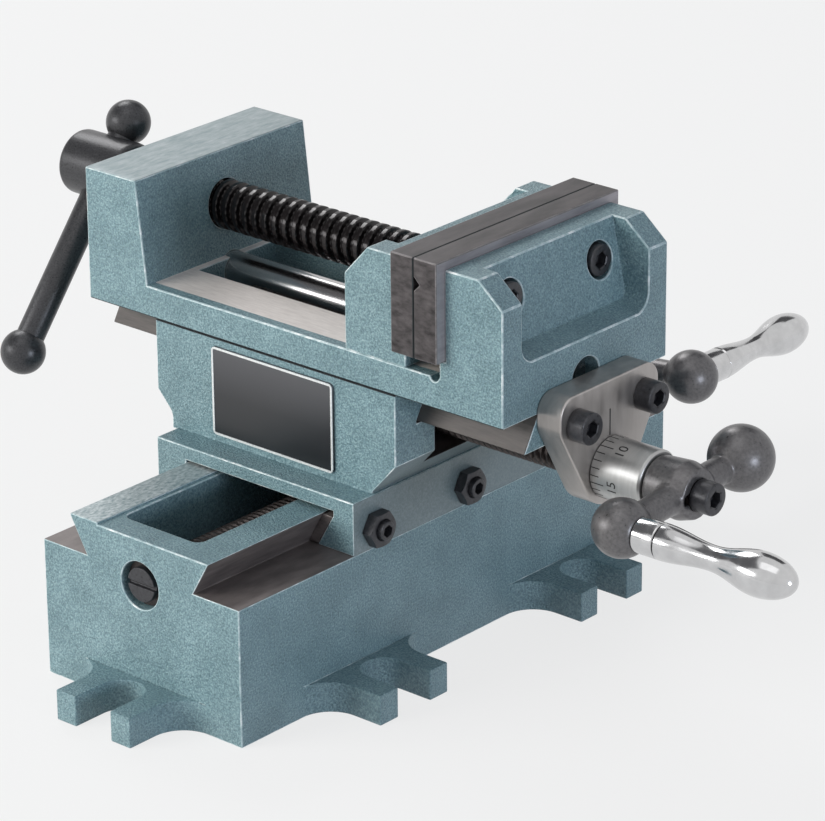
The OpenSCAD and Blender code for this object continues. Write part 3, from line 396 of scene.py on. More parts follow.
RIM_CUTS = [((0, SADDLE_Y + side * (HALF_BODY - RIM), 0), (0, 1, 0)) for side in (-1, 1)]
COMMON = [enamel, oiled_iron, worn_edge_and_highlight, gap_shade_finish]
dressed("base_casting", 0.5, COMMON + [scraped_iron], worn_paint, base_faces)
dressed("saddle_casting", 0.5, COMMON + [thin_enamel], worn_paint, saddle_faces, convex=True)
dressed("vise_casting", 0.6, COMMON + [milled_iron, worn_top, flank_iron], worn_paint, body_faces, RIM_CUTS)
dressed("movable_jaw", 0.5, COMMON, worn_paint)
print("castings dressed")

# %% [markdown]
# ## Plates, bracket and small blocks
# The jaw plates are ground bars. Their edges are paler, except where the two plates meet: there the edge strips carry
# painted shade, dark like the groove between them. Their backs are paler too.
# The bracket that carries the cross screw is satin steel. Gib strips and feed nuts show little, but they are made
# the same way.

# %% Plates, bracket and blocks
PLATES_MEET = 78.4
GROUND, EDGE, MEETING_SHADE, BACK = range(4)


def plate_faces(at, normal):
    return BACK if abs(normal.x) > 0.9 and abs(at.x - PLATES_MEET) > 5 else GROUND


def plate_edge(at, finish):
    # edge strips where the two plates meet get painted shade
    return MEETING_SHADE if abs(at.x - PLATES_MEET) < 1 else EDGE


for node in ("fixed_jaw_plate", "movable_jaw_plate"):
    dressed(node, 0.5, [jaw_steel, jaw_edge, gap_shade_finish, jaw_back], plate_edge, plate_faces)
dressed("screw_bracket", 0.7, [satin_steel])
for node in ("lower_gib", "upper_gib"):
    dressed(node, 0.3, [oiled_iron])
for node in ("base_feed_nut", "cross_feed_nut"):
    dressed(node, 0.4, [bronze])
for node in ("base_crank_key", "cross_crank_key", "spindle_pin", "base_end_washer"):
    dressed(node, 0.2, [screw_steel])
dressed("base_end_screw", 0.4, [black_steel])
print("plates and blocks dressed")

# %% [markdown]
# ## Turned parts
# Handles, balls, rods, dials, screw heads and nuts are all made round an axis. One function turns a list of
# rings into a closed surface. A ring is a place along the axis and a radius, and it may be a hexagon instead of
# a circle, which gives nuts and sockets, or a hexagon with chamfered corners. Corners are softened before turning,
# as a file or a lathe tool does.

# %% Helper for turned parts
AROUND = 96
CHAMFER = math.radians(30)


def softened(points, radius, steps=4):
    soft = [points[0]]
    for before, corner, after in zip(points, points[1:], points[2:]):
        p, q, r = Vector(before), Vector(corner), Vector(after)
        reach = min(radius, (p - q).length / 2.2, (r - q).length / 2.2)
        start, end = q + (p - q).normalized() * reach, q + (r - q).normalized() * reach
        for i in range(steps + 1):
            t = i / steps
            soft.append(tuple(start * (1 - t) ** 2 + q * 2 * t * (1 - t) + end * t * t))
    return soft + [points[-1]]


def hexagon(apothem, angle):
    third = math.pi / 3
    return apothem / math.cos((angle + third / 2) % third - third / 2)


def turned_mesh(name, rings, finish, around=AROUND):
    work = bmesh.new()
    rows = []
    for ring in rings:
        along, radius, kind = (tuple(ring) + ("round",))[:3]
        if radius < 1e-6:
            rows.append([work.verts.new((0, 0, along * MM))])
            continue
        row = []
        for i in range(around):
            angle = 2 * math.pi * i / around
            r = radius if kind == "round" else hexagon(radius, angle)
            drop = (r - radius) * math.tan(CHAMFER) if kind == "corner" else 0
            row.append(work.verts.new((r * math.cos(angle) * MM, r * math.sin(angle) * MM,
                                       (along - drop) * MM)))
        rows.append(row)
    for low, high in zip(rows, rows[1:]):
        for i in range(around):
            j = (i + 1) % around
            corners = [low[i % len(low)], low[j % len(low)], high[j % len(high)], high[i % len(high)]]
            work.faces.new(list(dict.fromkeys(corners)))
    bmesh.ops.recalc_face_normals(work, faces=work.faces)
    mesh = finished_mesh(name, work, finish)
    shade(mesh)
    return mesh


def axis_frame(origin, axis, side=None):
    z = Vector(axis).normalized()
    x = Vector(side) if side else z.orthogonal()
    x = (x - z * x.dot(z)).normalized()
    turn = Matrix((x, z.cross(x), z)).transposed().to_4x4()
    return Matrix.Translation(Vector(origin) * MM) @ turn


def turned(name, rings, frame_at, finish, around=AROUND):
    mesh = turned_mesh(name, rings, finish, around)
    mesh.transform(frame_at)
    return to_object(name, mesh)


# %% [markdown]
# ## Handles and balls
# Each crank carries a polished handle: a fixed collar, then a grip that turns, waisted in the middle and round
# at its end. Its profile follows the same curve as the solid. The tommy bar is a plain bar with two black balls.

# %% Handles, balls and rod
BASE_SCREW_Z, CROSS_SCREW_Z, SPINDLE_Z, ROD_Z = 53.5, 98.0, 159.6, 132.0
BASE_END, BRACKET_FACE = 131.0, 130.5
BASE_TURN, CROSS_TURN = math.radians(7.5), math.radians(86.5)
CRANKS = {
    "base": axis_frame((0, BASE_END, BASE_SCREW_Z), (0, 1, 0), (math.cos(BASE_TURN), 0, math.sin(BASE_TURN))),
    "cross": axis_frame((BRACKET_FACE, SADDLE_Y, CROSS_SCREW_Z), (1, 0, 0),
                        (0, -math.sin(CROSS_TURN), -math.cos(CROSS_TURN)))}
CRANK_R, GRIP_AT, GRIP_L = 39.0, 56.686, 61.5
COLLAR_R, COLLAR_AT, COLLAR_L = 7.2, 46.386, 10.0
NECK_R, BULGE_R, NECK_U, BULGE_U = 5.0, 8.8, 0.38, 0.74


def ease(a, b, t):
    return a + (b - a) * (1 - math.cos(math.pi * t)) / 2


def grip_radius(u):
    if u < NECK_U:
        return ease(COLLAR_R, NECK_R, u / NECK_U)
    if u < BULGE_U:
        return ease(NECK_R, BULGE_R, (u - NECK_U) / (BULGE_U - NECK_U))
    return BULGE_R * math.sqrt(max(0, 1 - ((u - BULGE_U) / (1 - BULGE_U)) ** 2))


grip_steps = [BULGE_U * i / 48 for i in range(49)]
grip_steps += [BULGE_U + (1 - BULGE_U) * math.sin(math.pi / 2 * i / 20) for i in range(1, 21)]
GRIP_CHAMFER = 0.5
grip_rings = [(0, 0), (0, COLLAR_R - GRIP_CHAMFER), (GRIP_CHAMFER, COLLAR_R)]
grip_rings += [(u * GRIP_L, grip_radius(u)) for u in grip_steps[1:]]
collar_rings = softened([(0, 0), (0, COLLAR_R), (COLLAR_L, COLLAR_R), (COLLAR_L, 0)], 0.6)
for crank, crank_frame in CRANKS.items():
    at_handle = crank_frame @ Matrix.Translation((CRANK_R * MM, 0, 0))
    at_grip = at_handle @ Matrix.Translation((0, 0, GRIP_AT * MM))
    grip = turned(crank + "_grip_turned", grip_rings, at_grip, polished)
    stands_for(grip, crank + "_grip")
    at_collar = at_handle @ Matrix.Translation((0, 0, COLLAR_AT * MM))
    collar = turned(crank + "_collar", collar_rings, at_collar, polished)
    stands_for(collar, crank + "_handle_stud")

BAR_TILT = math.radians(38.5)
BAR_R, BALL_R, BALL_FLAT, BAR_HIGH, BAR_LOW = 6.0, 9.5, 7.365, 21.415, -85.085
BAR_X = -139.5
BAR = axis_frame((BAR_X, SADDLE_Y, SPINDLE_Z), (0, math.sin(BAR_TILT), math.cos(BAR_TILT)))
bar_start, bar_end = BAR_LOW + BALL_FLAT, BAR_HIGH - BALL_FLAT
bar_rings = [(bar_start - 1, 0), (bar_start - 1, BAR_R - 0.4), (bar_start, BAR_R),
             (bar_end, BAR_R), (bar_end + 1, BAR_R - 0.4), (bar_end + 1, 0)]
stands_for(turned("tommy_bar_turned", bar_rings, BAR, bar_black), "tommy_bar")
low_turn = math.acos(BALL_FLAT / BALL_R)
ball_turns = [low_turn + (math.pi - low_turn) * i / 40 for i in range(41)]
ball_rings = [(BALL_R * math.cos(t), BALL_R * math.sin(t)) for t in ball_turns[:-1]]
ball_rings = [(BALL_FLAT, 0)] + ball_rings + [(-BALL_R, 0)]
for node, place_on_bar, way in (("upper_ball", BAR_HIGH, -1), ("lower_ball", BAR_LOW, 1)):
    rings = [(place_on_bar + way * along, radius) for along, radius in ball_rings]
    stands_for(turned(node + "_turned", rings, BAR, bar_black), node)

ROD_R, ROD_START, ROD_END = 7.5, -88.2, 112.5
rod_rings = softened([(ROD_START, 0), (ROD_START, ROD_R), (ROD_END, ROD_R), (ROD_END, 0)], 0.8)
rod = turned("guide_rod_turned", rod_rings, axis_frame((0, SADDLE_Y, ROD_Z), (1, 0, 0)), ground_rod)
stands_for(rod, "guide_rod")
print("grip rings:", len(grip_rings))

# %% [markdown]
# ## Threads
# A thread is a surface that follows a rule: at each angle the same wave runs along the axis, shifted by one
# pitch per turn. A Geometry Nodes tree takes a flat grid, reads one direction as the angle and the other as the
# length, and sets each point's radius from that wave. Its first and last rows close on the axis.

# %% Thread tree
def new_tree(name, inputs):
    tree = bpy.data.node_groups.new(name, "GeometryNodeTree")
    tree.interface.new_socket("Geometry", in_out="OUTPUT", socket_type="NodeSocketGeometry")
    for label, kind in inputs.items():
        tree.interface.new_socket(label, in_out="INPUT", socket_type="NodeSocket" + kind)
    return tree, add(tree, "NodeGroupInput").outputs


def close_tree(tree, geometry, finish):
    real = add(tree, "GeometryNodeRealizeInstances", {"Geometry": geometry})
    painted = add(tree, "GeometryNodeSetMaterial", {"Geometry": real.outputs[0], "Material": finish})
    add(tree, "NodeGroupOutput", {0: painted.outputs[0]})
    return tree


def thread_tree():
    tree, given = new_tree("screw_thread", {
        "Length": "Float", "Pitch": "Float", "Crest radius": "Float", "Root radius": "Float", "Sharpness": "Float",
        "Rows": "Int", "Columns": "Int", "Finish": "Material"})
    grid = add(tree, "GeometryNodeMeshGrid", {"Size X": 1.0, "Size Y": 1.0, "Vertices X": given["Rows"],
                                              "Vertices Y": given["Columns"]})
    split = add(tree, "ShaderNodeSeparateXYZ", {0: add(tree, "GeometryNodeInputPosition").outputs[0]})
    share = calc(tree, "ADD", split.outputs["X"], 0.5)
    turn = calc(tree, "ADD", split.outputs["Y"], 0.5)
    along = calc(tree, "MULTIPLY", share, given["Length"])
    angle = calc(tree, "MULTIPLY", turn, 2 * math.pi)
    pitches = calc(tree, "DIVIDE", along, given["Pitch"])
    phase = calc(tree, "MULTIPLY", calc(tree, "SUBTRACT", pitches, turn), 2 * math.pi)
    reach = calc(tree, "DIVIDE", 0.5, given["Sharpness"])
    wave = add(tree, "ShaderNodeMapRange", {"Value": calc(tree, "COSINE", phase), "From Max": reach,
                                            "From Min": calc(tree, "MULTIPLY", reach, -1.0)},
               interpolation_type="SMOOTHSTEP").outputs["Result"]
    depth = calc(tree, "SUBTRACT", given["Crest radius"], given["Root radius"])
    radius = calc(tree, "ADD", given["Root radius"], calc(tree, "MULTIPLY", wave, depth))
    inner = calc(tree, "LESS_THAN", calc(tree, "ABSOLUTE", split.outputs["X"]), 0.49999)
    radius = calc(tree, "MULTIPLY", radius, inner)  # the end rows get a radius of nought
    spot = add(tree, "ShaderNodeCombineXYZ", {0: calc(tree, "MULTIPLY", radius, calc(tree, "COSINE", angle)),
                                              1: calc(tree, "MULTIPLY", radius, calc(tree, "SINE", angle)),
                                              2: along})
    moved = add(tree, "GeometryNodeSetPosition", {"Geometry": grid.outputs["Mesh"],
                                                  "Position": spot.outputs[0]})
    closed = add(tree, "GeometryNodeMergeByDistance", {"Geometry": moved.outputs[0], "Distance": 0.001 * MM})
    smooth = add(tree, "GeometryNodeSetShadeSmooth", {"Geometry": closed.outputs[0]})
    return close_tree(tree, smooth.outputs[0], given["Finish"])


def run_tree(name, tree, values):
    piece = to_object(name, bpy.data.meshes.new(name))
    modifier = piece.modifiers.new("nodes", "NODES")
    modifier.node_group = tree
    for item in tree.interface.items_tree:
        if item.in_out == "INPUT" and item.name in values:
            modifier[item.identifier] = values[item.name]
    flatten(piece)
    return piece


THREAD = thread_tree()


def thread(name, length, pitch, crest, root, sharpness, finish, frame_at, rows_per_pitch=14, columns=96):
    piece = run_tree(name, THREAD, {
        "Length": length * MM, "Pitch": pitch * MM, "Crest radius": crest * MM, "Root radius": root * MM,
        "Sharpness": sharpness, "Rows": int(length / pitch * rows_per_pitch), "Columns": columns + 1,
        "Finish": finish})
    work = bmesh.new()
    work.from_mesh(piece.data)
    bmesh.ops.recalc_face_normals(work, faces=work.faces)
    work.to_mesh(piece.data)
    work.free()
    piece.data.transform(frame_at)
    return piece


# %% [markdown]
# ## Spindle and feed screws
# The spindle has a coarse round thread with black, oily crests. The two feed screws are plain steel with a
# finer square thread. Each screw is a thread and the turned ends that it runs in. The spindle's head has a
# cross hole for the tommy bar, cut with a Boolean modifier.

# %% Spindle and feed screws
def joined(name, *pieces):
    work = bmesh.new()
    finishes = []
    for piece in pieces:
        start = len(work.faces)
        work.from_mesh(piece.data)
        work.faces.ensure_lookup_table()
        finish = next(m for m in piece.data.materials if m)
        if finish not in finishes:
            finishes.append(finish)
        for face in work.faces[start:]:
            face.material_index = finishes.index(finish)
    mesh = finished_mesh(name, work, *finishes)
    for piece in pieces:
        bpy.data.objects.remove(piece)
    shade(mesh, math.radians(40))
    return to_object(name, mesh)


HEAD_AT, HEAD_L, HEAD_R, HEAD_ROUND = -123.5, 32.0, 13.75, 2.6
DRILL_HALF, DRILL_PLAY = 30.0, 0.05
THREAD_END, NECK_END, GROOVE, GROOVE_END, JOURNAL_END = 33.5, 41.9, 46.8, 52.0, 56.9
SPINDLE_R, SPINDLE_DEPTH, SPINDLE_PITCH, SHOULDER_R, JOURNAL_R, GROOVE_R = 10.25, 1.9, 5.5, 9.4, 7.0, 5.0
OVERLAP = 2.0
along_spindle = axis_frame((0, SADDLE_Y, SPINDLE_Z), (1, 0, 0))
head_start = HEAD_AT - HEAD_L
head_rings = softened([(head_start, 0), (head_start, HEAD_R), (HEAD_AT, HEAD_R), (HEAD_AT, 0)], HEAD_ROUND, 6)
head = turned("spindle_head", head_rings, along_spindle, bar_black)
drill_r = BAR_R + DRILL_PLAY
drill_rings = [(-DRILL_HALF, 0), (-DRILL_HALF, drill_r), (DRILL_HALF, drill_r), (DRILL_HALF, 0)]
drill = turned("drill", drill_rings, BAR, bar_black)
cut = head.modifiers.new("cross_hole", "BOOLEAN")
cut.operation, cut.object, cut.solver = "DIFFERENCE", drill, "EXACT"
flatten(head)
bpy.data.objects.remove(drill)
screw = thread("spindle_thread", THREAD_END - HEAD_AT + OVERLAP, SPINDLE_PITCH, SPINDLE_R, SPINDLE_R - SPINDLE_DEPTH,
               1.0, spindle_black, axis_frame((HEAD_AT - OVERLAP, SADDLE_Y, SPINDLE_Z), (1, 0, 0)), 22)
journal_rings = softened([(THREAD_END - 1, 0), (THREAD_END - 1, SHOULDER_R), (THREAD_END + 1.5, SHOULDER_R),
                          (NECK_END, JOURNAL_R), (GROOVE, JOURNAL_R), (GROOVE, GROOVE_R), (GROOVE_END, GROOVE_R),
                          (GROOVE_END, JOURNAL_R), (JOURNAL_END, JOURNAL_R), (JOURNAL_END, 0)], 0.4)
journal = turned("spindle_journal", journal_rings, along_spindle, spindle_black)
stands_for(joined("spindle_turned", head, screw, journal), "spindle")

FEED_R, FEED_ROOT, FEED_PITCH, FEED_SHARP = 8.0, 6.3, 3.0, 1.1
BEARING_R, TAIL_R, BEARING_AT = 7.0, 6.0, 117.0
NEAR_TIP, BASE_STEP, BASE_TIP, CROSS_STEP, CROSS_TIP = -126.0, 154.5, 173.6, 154.0, 173.1
BASE_THREAD_AT, BASE_THREAD_L, CROSS_THREAD_AT, CROSS_THREAD_L = -118.2, 236.4, -75.8, 194.0


def feed_thread(name, length, frame_at):
    return thread(name, length, FEED_PITCH, FEED_R, FEED_ROOT, FEED_SHARP, screw_steel, frame_at, 8, 40)


def far_end(name, step, tip, frame_at):
    rings = [(BEARING_AT, 0), (BEARING_AT, BEARING_R), (step, BEARING_R), (step, TAIL_R), (tip, TAIL_R), (tip, 0)]
    return turned(name, rings, frame_at, screw_steel)


along_base = axis_frame((0, 0, BASE_SCREW_Z), (0, 1, 0))
along_cross = axis_frame((0, SADDLE_Y, CROSS_SCREW_Z), (1, 0, 0))
base_thread = feed_thread("base_thread", BASE_THREAD_L, axis_frame((0, BASE_THREAD_AT, BASE_SCREW_Z), (0, 1, 0)))
near_rings = [(NEAR_TIP, 0), (NEAR_TIP, BEARING_R), (-BEARING_AT, BEARING_R), (-BEARING_AT, 0)]
base_near = turned("base_near_end", near_rings, along_base, screw_steel)
base_far = far_end("base_far_end", BASE_STEP, BASE_TIP, along_base)
stands_for(joined("base_screw_turned", base_thread, base_near, base_far), "base_leadscrew")
cross_thread = feed_thread("cross_thread", CROSS_THREAD_L,
                           axis_frame((CROSS_THREAD_AT, SADDLE_Y, CROSS_SCREW_Z), (1, 0, 0)))
cross_far = far_end("cross_far_end", CROSS_STEP, CROSS_TIP, along_cross)
stands_for(joined("cross_screw_turned", cross_thread, cross_far), "cross_leadscrew")
print("threads made")

# %% [markdown]
# ## Rows of fasteners
# Socket screws and nuts come in rows, so one screw is turned and a Geometry Nodes tree sets copies of it along a
# line. Count and step are the tree's inputs, and the copies are made real at the end. Three functions give the
# rings of a socket head screw, a set screw and a nut from their sizes.

# %% Row tree
FASTENER_AROUND = 48


def row_tree():
    tree, given = new_tree("row_of_fasteners", {"Fastener": "Object", "Count": "Int", "Start": "Vector",
                                                "Step": "Vector", "Finish": "Material"})
    line = add(tree, "GeometryNodeMeshLine", {"Count": given["Count"], "Start Location": given["Start"],
                                              "Offset": given["Step"]}, mode="OFFSET")
    shape = add(tree, "GeometryNodeObjectInfo", {"Object": given["Fastener"]})
    copies = add(tree, "GeometryNodeInstanceOnPoints", {"Points": line.outputs[0],
                                                        "Instance": shape.outputs["Geometry"]})
    return close_tree(tree, copies.outputs[0], given["Finish"])


ROW = row_tree()


def row_of(name, node, rings, count, start, step, axis, side=None):
    one = turned("one_" + name, rings, axis_frame((0, 0, 0), axis, side), black_steel, FASTENER_AROUND)
    piece = run_tree(name, ROW, {"Fastener": one, "Count": count, "Start": Vector(start) * MM,
                                 "Step": Vector(step) * MM, "Finish": black_steel})
    bpy.data.objects.remove(one)
    return stands_for(piece, node)


def socket_rings(d, length):
    head_r, deep, flat = 0.75 * d + 0.5, 0.5 * d, 0.375 * d
    outer = softened([(-length, 0), (-length, d / 2), (0, d / 2), (0, head_r), (d, head_r), (d, flat + 0.6)],
                     0.09 * d)
    socket = [(d, flat + 0.45, "hex"), (d - 0.3, flat, "hex"), (d - deep, flat, "hex"), (d - deep - 0.8, 0)]
    return outer + socket


def set_rings(d, length):
    flat = d / 4
    outer = softened([(0, 0), (0, d / 2), (length, d / 2), (length, flat + 0.5)], 0.12 * d)
    return outer + [(length, flat + 0.3, "hex"), (length - d / 2, flat, "hex"), (length - d / 2, 0)]


def nut_rings(d, flats, h):
    a, bore = flats / 2, d / 2 + 0.05
    return [(0.3, bore), (0, bore + 0.4), (0, a - 0.2), (0.4, a, "hex"), (h, a, "corner"), (h, a - 0.1),
            (h, bore + 0.6), (h - 0.6, bore), (0.3, bore)]


# %% [markdown]
# ## Screws and nuts
# The rows are set where the solids have them. Pairs hold the bracket, the jaw plates and the feed nuts. Three set
# screws with nuts press each gib strip. One screw holds each crank, and a grub screw holds each dial.

# %% Screws and nuts
PLATE_SCREW_Z, PLATE_SCREW_Y, PLATE_SCREW_L = 168.6, 27.0, 12.9
BRACKET_SCREW_Y, BRACKET_SCREW_Z = 20.5, 121.9
FIXED_SEAT, MOVABLE_SEAT = 96.0, 60.9
X, BACK_X, Y, Z = (1, 0, 0), (-1, 0, 0), (0, 1, 0), (0, 0, 1)
row_of("bracket_screw_pair", "bracket_screws", socket_rings(8, 24), 2,
       (BRACKET_FACE, SADDLE_Y - BRACKET_SCREW_Y, BRACKET_SCREW_Z), (0, 2 * BRACKET_SCREW_Y, 0), X)
for name, seat, way in (("fixed", FIXED_SEAT, X), ("movable", MOVABLE_SEAT, BACK_X)):
    row_of(name + "_plate_screw_pair", name + "_plate_screws", socket_rings(8, PLATE_SCREW_L), 2,
           (seat, SADDLE_Y - PLATE_SCREW_Y, PLATE_SCREW_Z), (0, 2 * PLATE_SCREW_Y, 0), way)
row_of("base_nut_screw_pair", "base_nut_screws", socket_rings(6, 16.7), 2, (-11.2, SADDLE_Y, 82.7), (22.4, 0, 0), Z)
row_of("cross_nut_screw_pair", "cross_nut_screws", socket_rings(6, 13), 2, (0, SADDLE_Y - 19.2, 96), (0, 38.4, 0), Z)

GIB_PITCH, GIB_MIDDLE, GIB_Z, UPPER_GIB_Z = 55.0, 2.0, 67.2, 118.25
LOWER_SEAT, UPPER_SEAT = 53.2, 47.0
LOWER_D, UPPER_D = 8, 6.4
along_base_side, along_block_side = (0, GIB_PITCH, 0), (GIB_PITCH, 0, 0)
low, high = (Vector(corner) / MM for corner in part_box("lower_gib_screws"))
row_of("lower_gib_screw_row", "lower_gib_screws", set_rings(LOWER_D, high.x - low.x), 3,
       (low.x, GIB_MIDDLE - GIB_PITCH, GIB_Z), along_base_side, X)
row_of("lower_gib_nut_row", "lower_gib_nuts", nut_rings(LOWER_D, 13.6, 4.8), 3,
       (LOWER_SEAT, GIB_MIDDLE - GIB_PITCH, GIB_Z), along_base_side, X, Z)
low, high = (Vector(corner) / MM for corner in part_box("upper_gib_screws"))
row_of("upper_gib_screw_row", "upper_gib_screws", set_rings(UPPER_D, high.y - low.y), 3,
       (-GIB_PITCH, low.y, UPPER_GIB_Z), along_block_side, Y)
row_of("upper_gib_nut_row", "upper_gib_nuts", nut_rings(UPPER_D, 10.88, 3.84), 3,
       (-GIB_PITCH, UPPER_SEAT, UPPER_GIB_Z), along_block_side, Y)

CRANK_END, GRUB_AT, GRUB_LOW = 43.6, 17.5, 7.05
grub_rings = [(along + GRUB_LOW, *rest) for along, *rest in set_rings(4, 4.4)]
for crank, crank_frame in CRANKS.items():
    at_end = crank_frame @ Matrix.Translation((0, 0, CRANK_END * MM))
    end_screw = turned(crank + "_end_screw", socket_rings(8, 12), at_end, black_steel, FASTENER_AROUND)
    stands_for(end_screw, crank + "_crank_screw")
    at_grub = crank_frame @ Matrix.Translation((0, 0, GRUB_AT * MM)) @ Matrix.Rotation(-math.pi / 2, 4, "Y")
    grub = turned(crank + "_grub", grub_rings, at_grub, black_steel, FASTENER_AROUND)
    stands_for(grub, crank + "_dial_screw")
print("fasteners made")

# %% [markdown]
# ## Cranks
# A crank is one casting: a hub and two arms that run smoothly into their balls. The solid has the right sizes
# but hard joins, so a voxel remesh turns its copy into one skin, and smoothing gives it the fillets that the
# foundry's pattern has.

# %% Cranks
VOXEL, SMOOTH_FACTOR, SMOOTH_STEPS = 0.6, 0.5, 10
for node in ("base_crank", "cross_crank"):
    crank_piece = to_object(node + "_cast", finished_mesh(node, solid_copy(node), cast_iron))
    skin = crank_piece.modifiers.new("skin", "REMESH")
    skin.mode, skin.voxel_size, skin.use_smooth_shade = "VOXEL", VOXEL * MM, True
    ease_out = crank_piece.modifiers.new("ease", "SMOOTH")
    ease_out.factor, ease_out.iterations = SMOOTH_FACTOR, SMOOTH_STEPS
    flatten(crank_piece)
    stands_for(crank_piece, node)
    print(node, "faces:", len(crank_piece.data.polygons))

# %% [markdown]
# ## Dials
# Each dial is a turned sleeve with twenty-five lines at its inner edge and a number at every fifth line. The lines
# are copies of one thin bar set round a circle by Geometry Nodes, longer at every fifth. The numbers are text made
# into a mesh and bent round the dial, with their tops towards the lines.

# %% Dials
DIAL_R, LINES, LABEL_STEP = 12.5, 25, 5
LINE_AT, LINE_L, LINE_WIDTH, LINE_HEIGHT, LONGER = 0.5, 4.0, 0.4, 0.12, 0.55
NUMBER_AT, NUMBER_SIZE, NUMBER_HEIGHT = 10.8, 6.0, 0.06
DIAL_START, DIAL_END, DIAL_BORE, DIAL_CHAMFER = 0.3, 23.8, 7.05, 0.8
FIRST_LINE = {"base": math.radians(20), "cross": math.radians(152)}


def dial_tree():
    tree, given = new_tree("dial_lines", {"Lines": "Int", "Radius": "Float", "Line length": "Float",
                                          "Line width": "Float", "Height": "Float", "Finish": "Material"})
    number = add(tree, "GeometryNodeInputIndex").outputs[0]
    fifth = calc(tree, "LESS_THAN", calc(tree, "MODULO", number, float(LABEL_STEP)), 0.5)
    length = calc(tree, "ADD", calc(tree, "MULTIPLY", fifth, LONGER), 1.0)
    circle = add(tree, "GeometryNodeMeshCircle", {"Vertices": given["Lines"], "Radius": given["Radius"]})
    size = add(tree, "ShaderNodeCombineXYZ", {0: given["Height"], 1: given["Line width"], 2: given["Line length"]})
    bar = add(tree, "GeometryNodeMeshCube", {"Size": size.outputs[0]})
    half = add(tree, "ShaderNodeCombineXYZ", {2: calc(tree, "MULTIPLY", given["Line length"], 0.5)})
    raised = add(tree, "GeometryNodeTransform", {"Geometry": bar.outputs[0], "Translation": half.outputs[0]})
    turn = calc(tree, "MULTIPLY", calc(tree, "DIVIDE", number, given["Lines"]), 2 * math.pi)
    copies = add(tree, "GeometryNodeInstanceOnPoints", {
        "Points": circle.outputs[0], "Instance": raised.outputs[0],
        "Rotation": add(tree, "ShaderNodeCombineXYZ", {2: turn}).outputs[0],
        "Scale": add(tree, "ShaderNodeCombineXYZ", {0: 1.0, 1: 1.0, 2: length}).outputs[0]})
    return close_tree(tree, copies.outputs[0], given["Finish"])


DIAL_LINES = dial_tree()


def bent_number(text, turn):
    curve = bpy.data.curves.new("number", "FONT")
    curve.body, curve.size, curve.align_x, curve.align_y = text, NUMBER_SIZE * MM, "CENTER", "CENTER"
    curve.extrude = NUMBER_HEIGHT * MM
    source = to_object("number", curve)
    mesh = bpy.data.meshes.new_from_object(source.evaluated_get(bpy.context.evaluated_depsgraph_get()))
    bpy.data.objects.remove(source)
    for vertex in mesh.vertices:
        angle = turn - vertex.co.x / (DIAL_R * MM)
        radius = DIAL_R * MM + vertex.co.z
        vertex.co = (radius * math.cos(angle), radius * math.sin(angle), NUMBER_AT * MM - vertex.co.y)
    mesh.materials.clear()
    mesh.materials.append(ink)
    return to_object("number", mesh)


dial_rings = softened([(DIAL_START, 0), (DIAL_START, DIAL_BORE), (DIAL_START, DIAL_R),
                       (DIAL_END - DIAL_CHAMFER, DIAL_R), (DIAL_END, DIAL_R - DIAL_CHAMFER), (DIAL_END, DIAL_BORE),
                       (DIAL_END, 0)], 0.25)
for crank, crank_frame in CRANKS.items():
    sleeve = turned(crank + "_dial_turned", dial_rings, crank_frame, turned_steel)
    stands_for(sleeve, crank + "_dial")
    start = FIRST_LINE[crank]
    lines = run_tree(crank + "_lines", DIAL_LINES, {
        "Lines": LINES, "Radius": DIAL_R * MM, "Line length": LINE_L * MM, "Line width": LINE_WIDTH * MM,
        "Height": LINE_HEIGHT * MM, "Finish": ink})
    lines.data.transform(Matrix.Translation((0, 0, LINE_AT * MM)) @ Matrix.Rotation(start, 4, "Z"))
    numbers = [bent_number(str(i), start + 2 * math.pi * i / LINES) for i in range(0, LINES, LABEL_STEP)]
    marks = joined(crank + "_dial_marks", lines, *numbers)
    marks.data.transform(crank_frame)
    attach(marks, crank + "_screw")
print("dial lines:", LINES)

# %% [markdown]
# ## Nameplate and index line
# The saddle carries a dark plate with a light border. It is left bare; its black is painted lighter towards the top,
# a painted reflection. The bracket has one black upright line above the dial, which the dial is read against.

# %% Nameplate and index line
def slab(name, low, high, finish, width):
    work = bmesh.new()
    bmesh.ops.create_cube(work, size=1.0)
    size, middle = (Vector(high) - Vector(low)) * MM, (Vector(high) + Vector(low)) * 0.5 * MM
    for vertex in work.verts:
        vertex.co = Vector(a * b for a, b in zip(vertex.co, size)) + middle
    bmesh.ops.bevel(work, geom=work.edges[:], offset=width * MM, segments=2, affect="EDGES", profile=0.5)
    mesh = finished_mesh(name, work, finish)
    shade(mesh, CREASE)
    return to_object(name, mesh)


def rounded_loop(half_x, half_z, radius, steps=6):
    loop = []
    for quarter, (sx, sz) in enumerate(((1, 1), (-1, 1), (-1, -1), (1, -1))):
        for i in range(steps + 1):
            angle = math.pi / 2 * (quarter + i / steps)
            loop.append((sx * (half_x - radius) + radius * math.cos(angle),
                         sz * (half_z - radius) + radius * math.sin(angle)))
    return loop


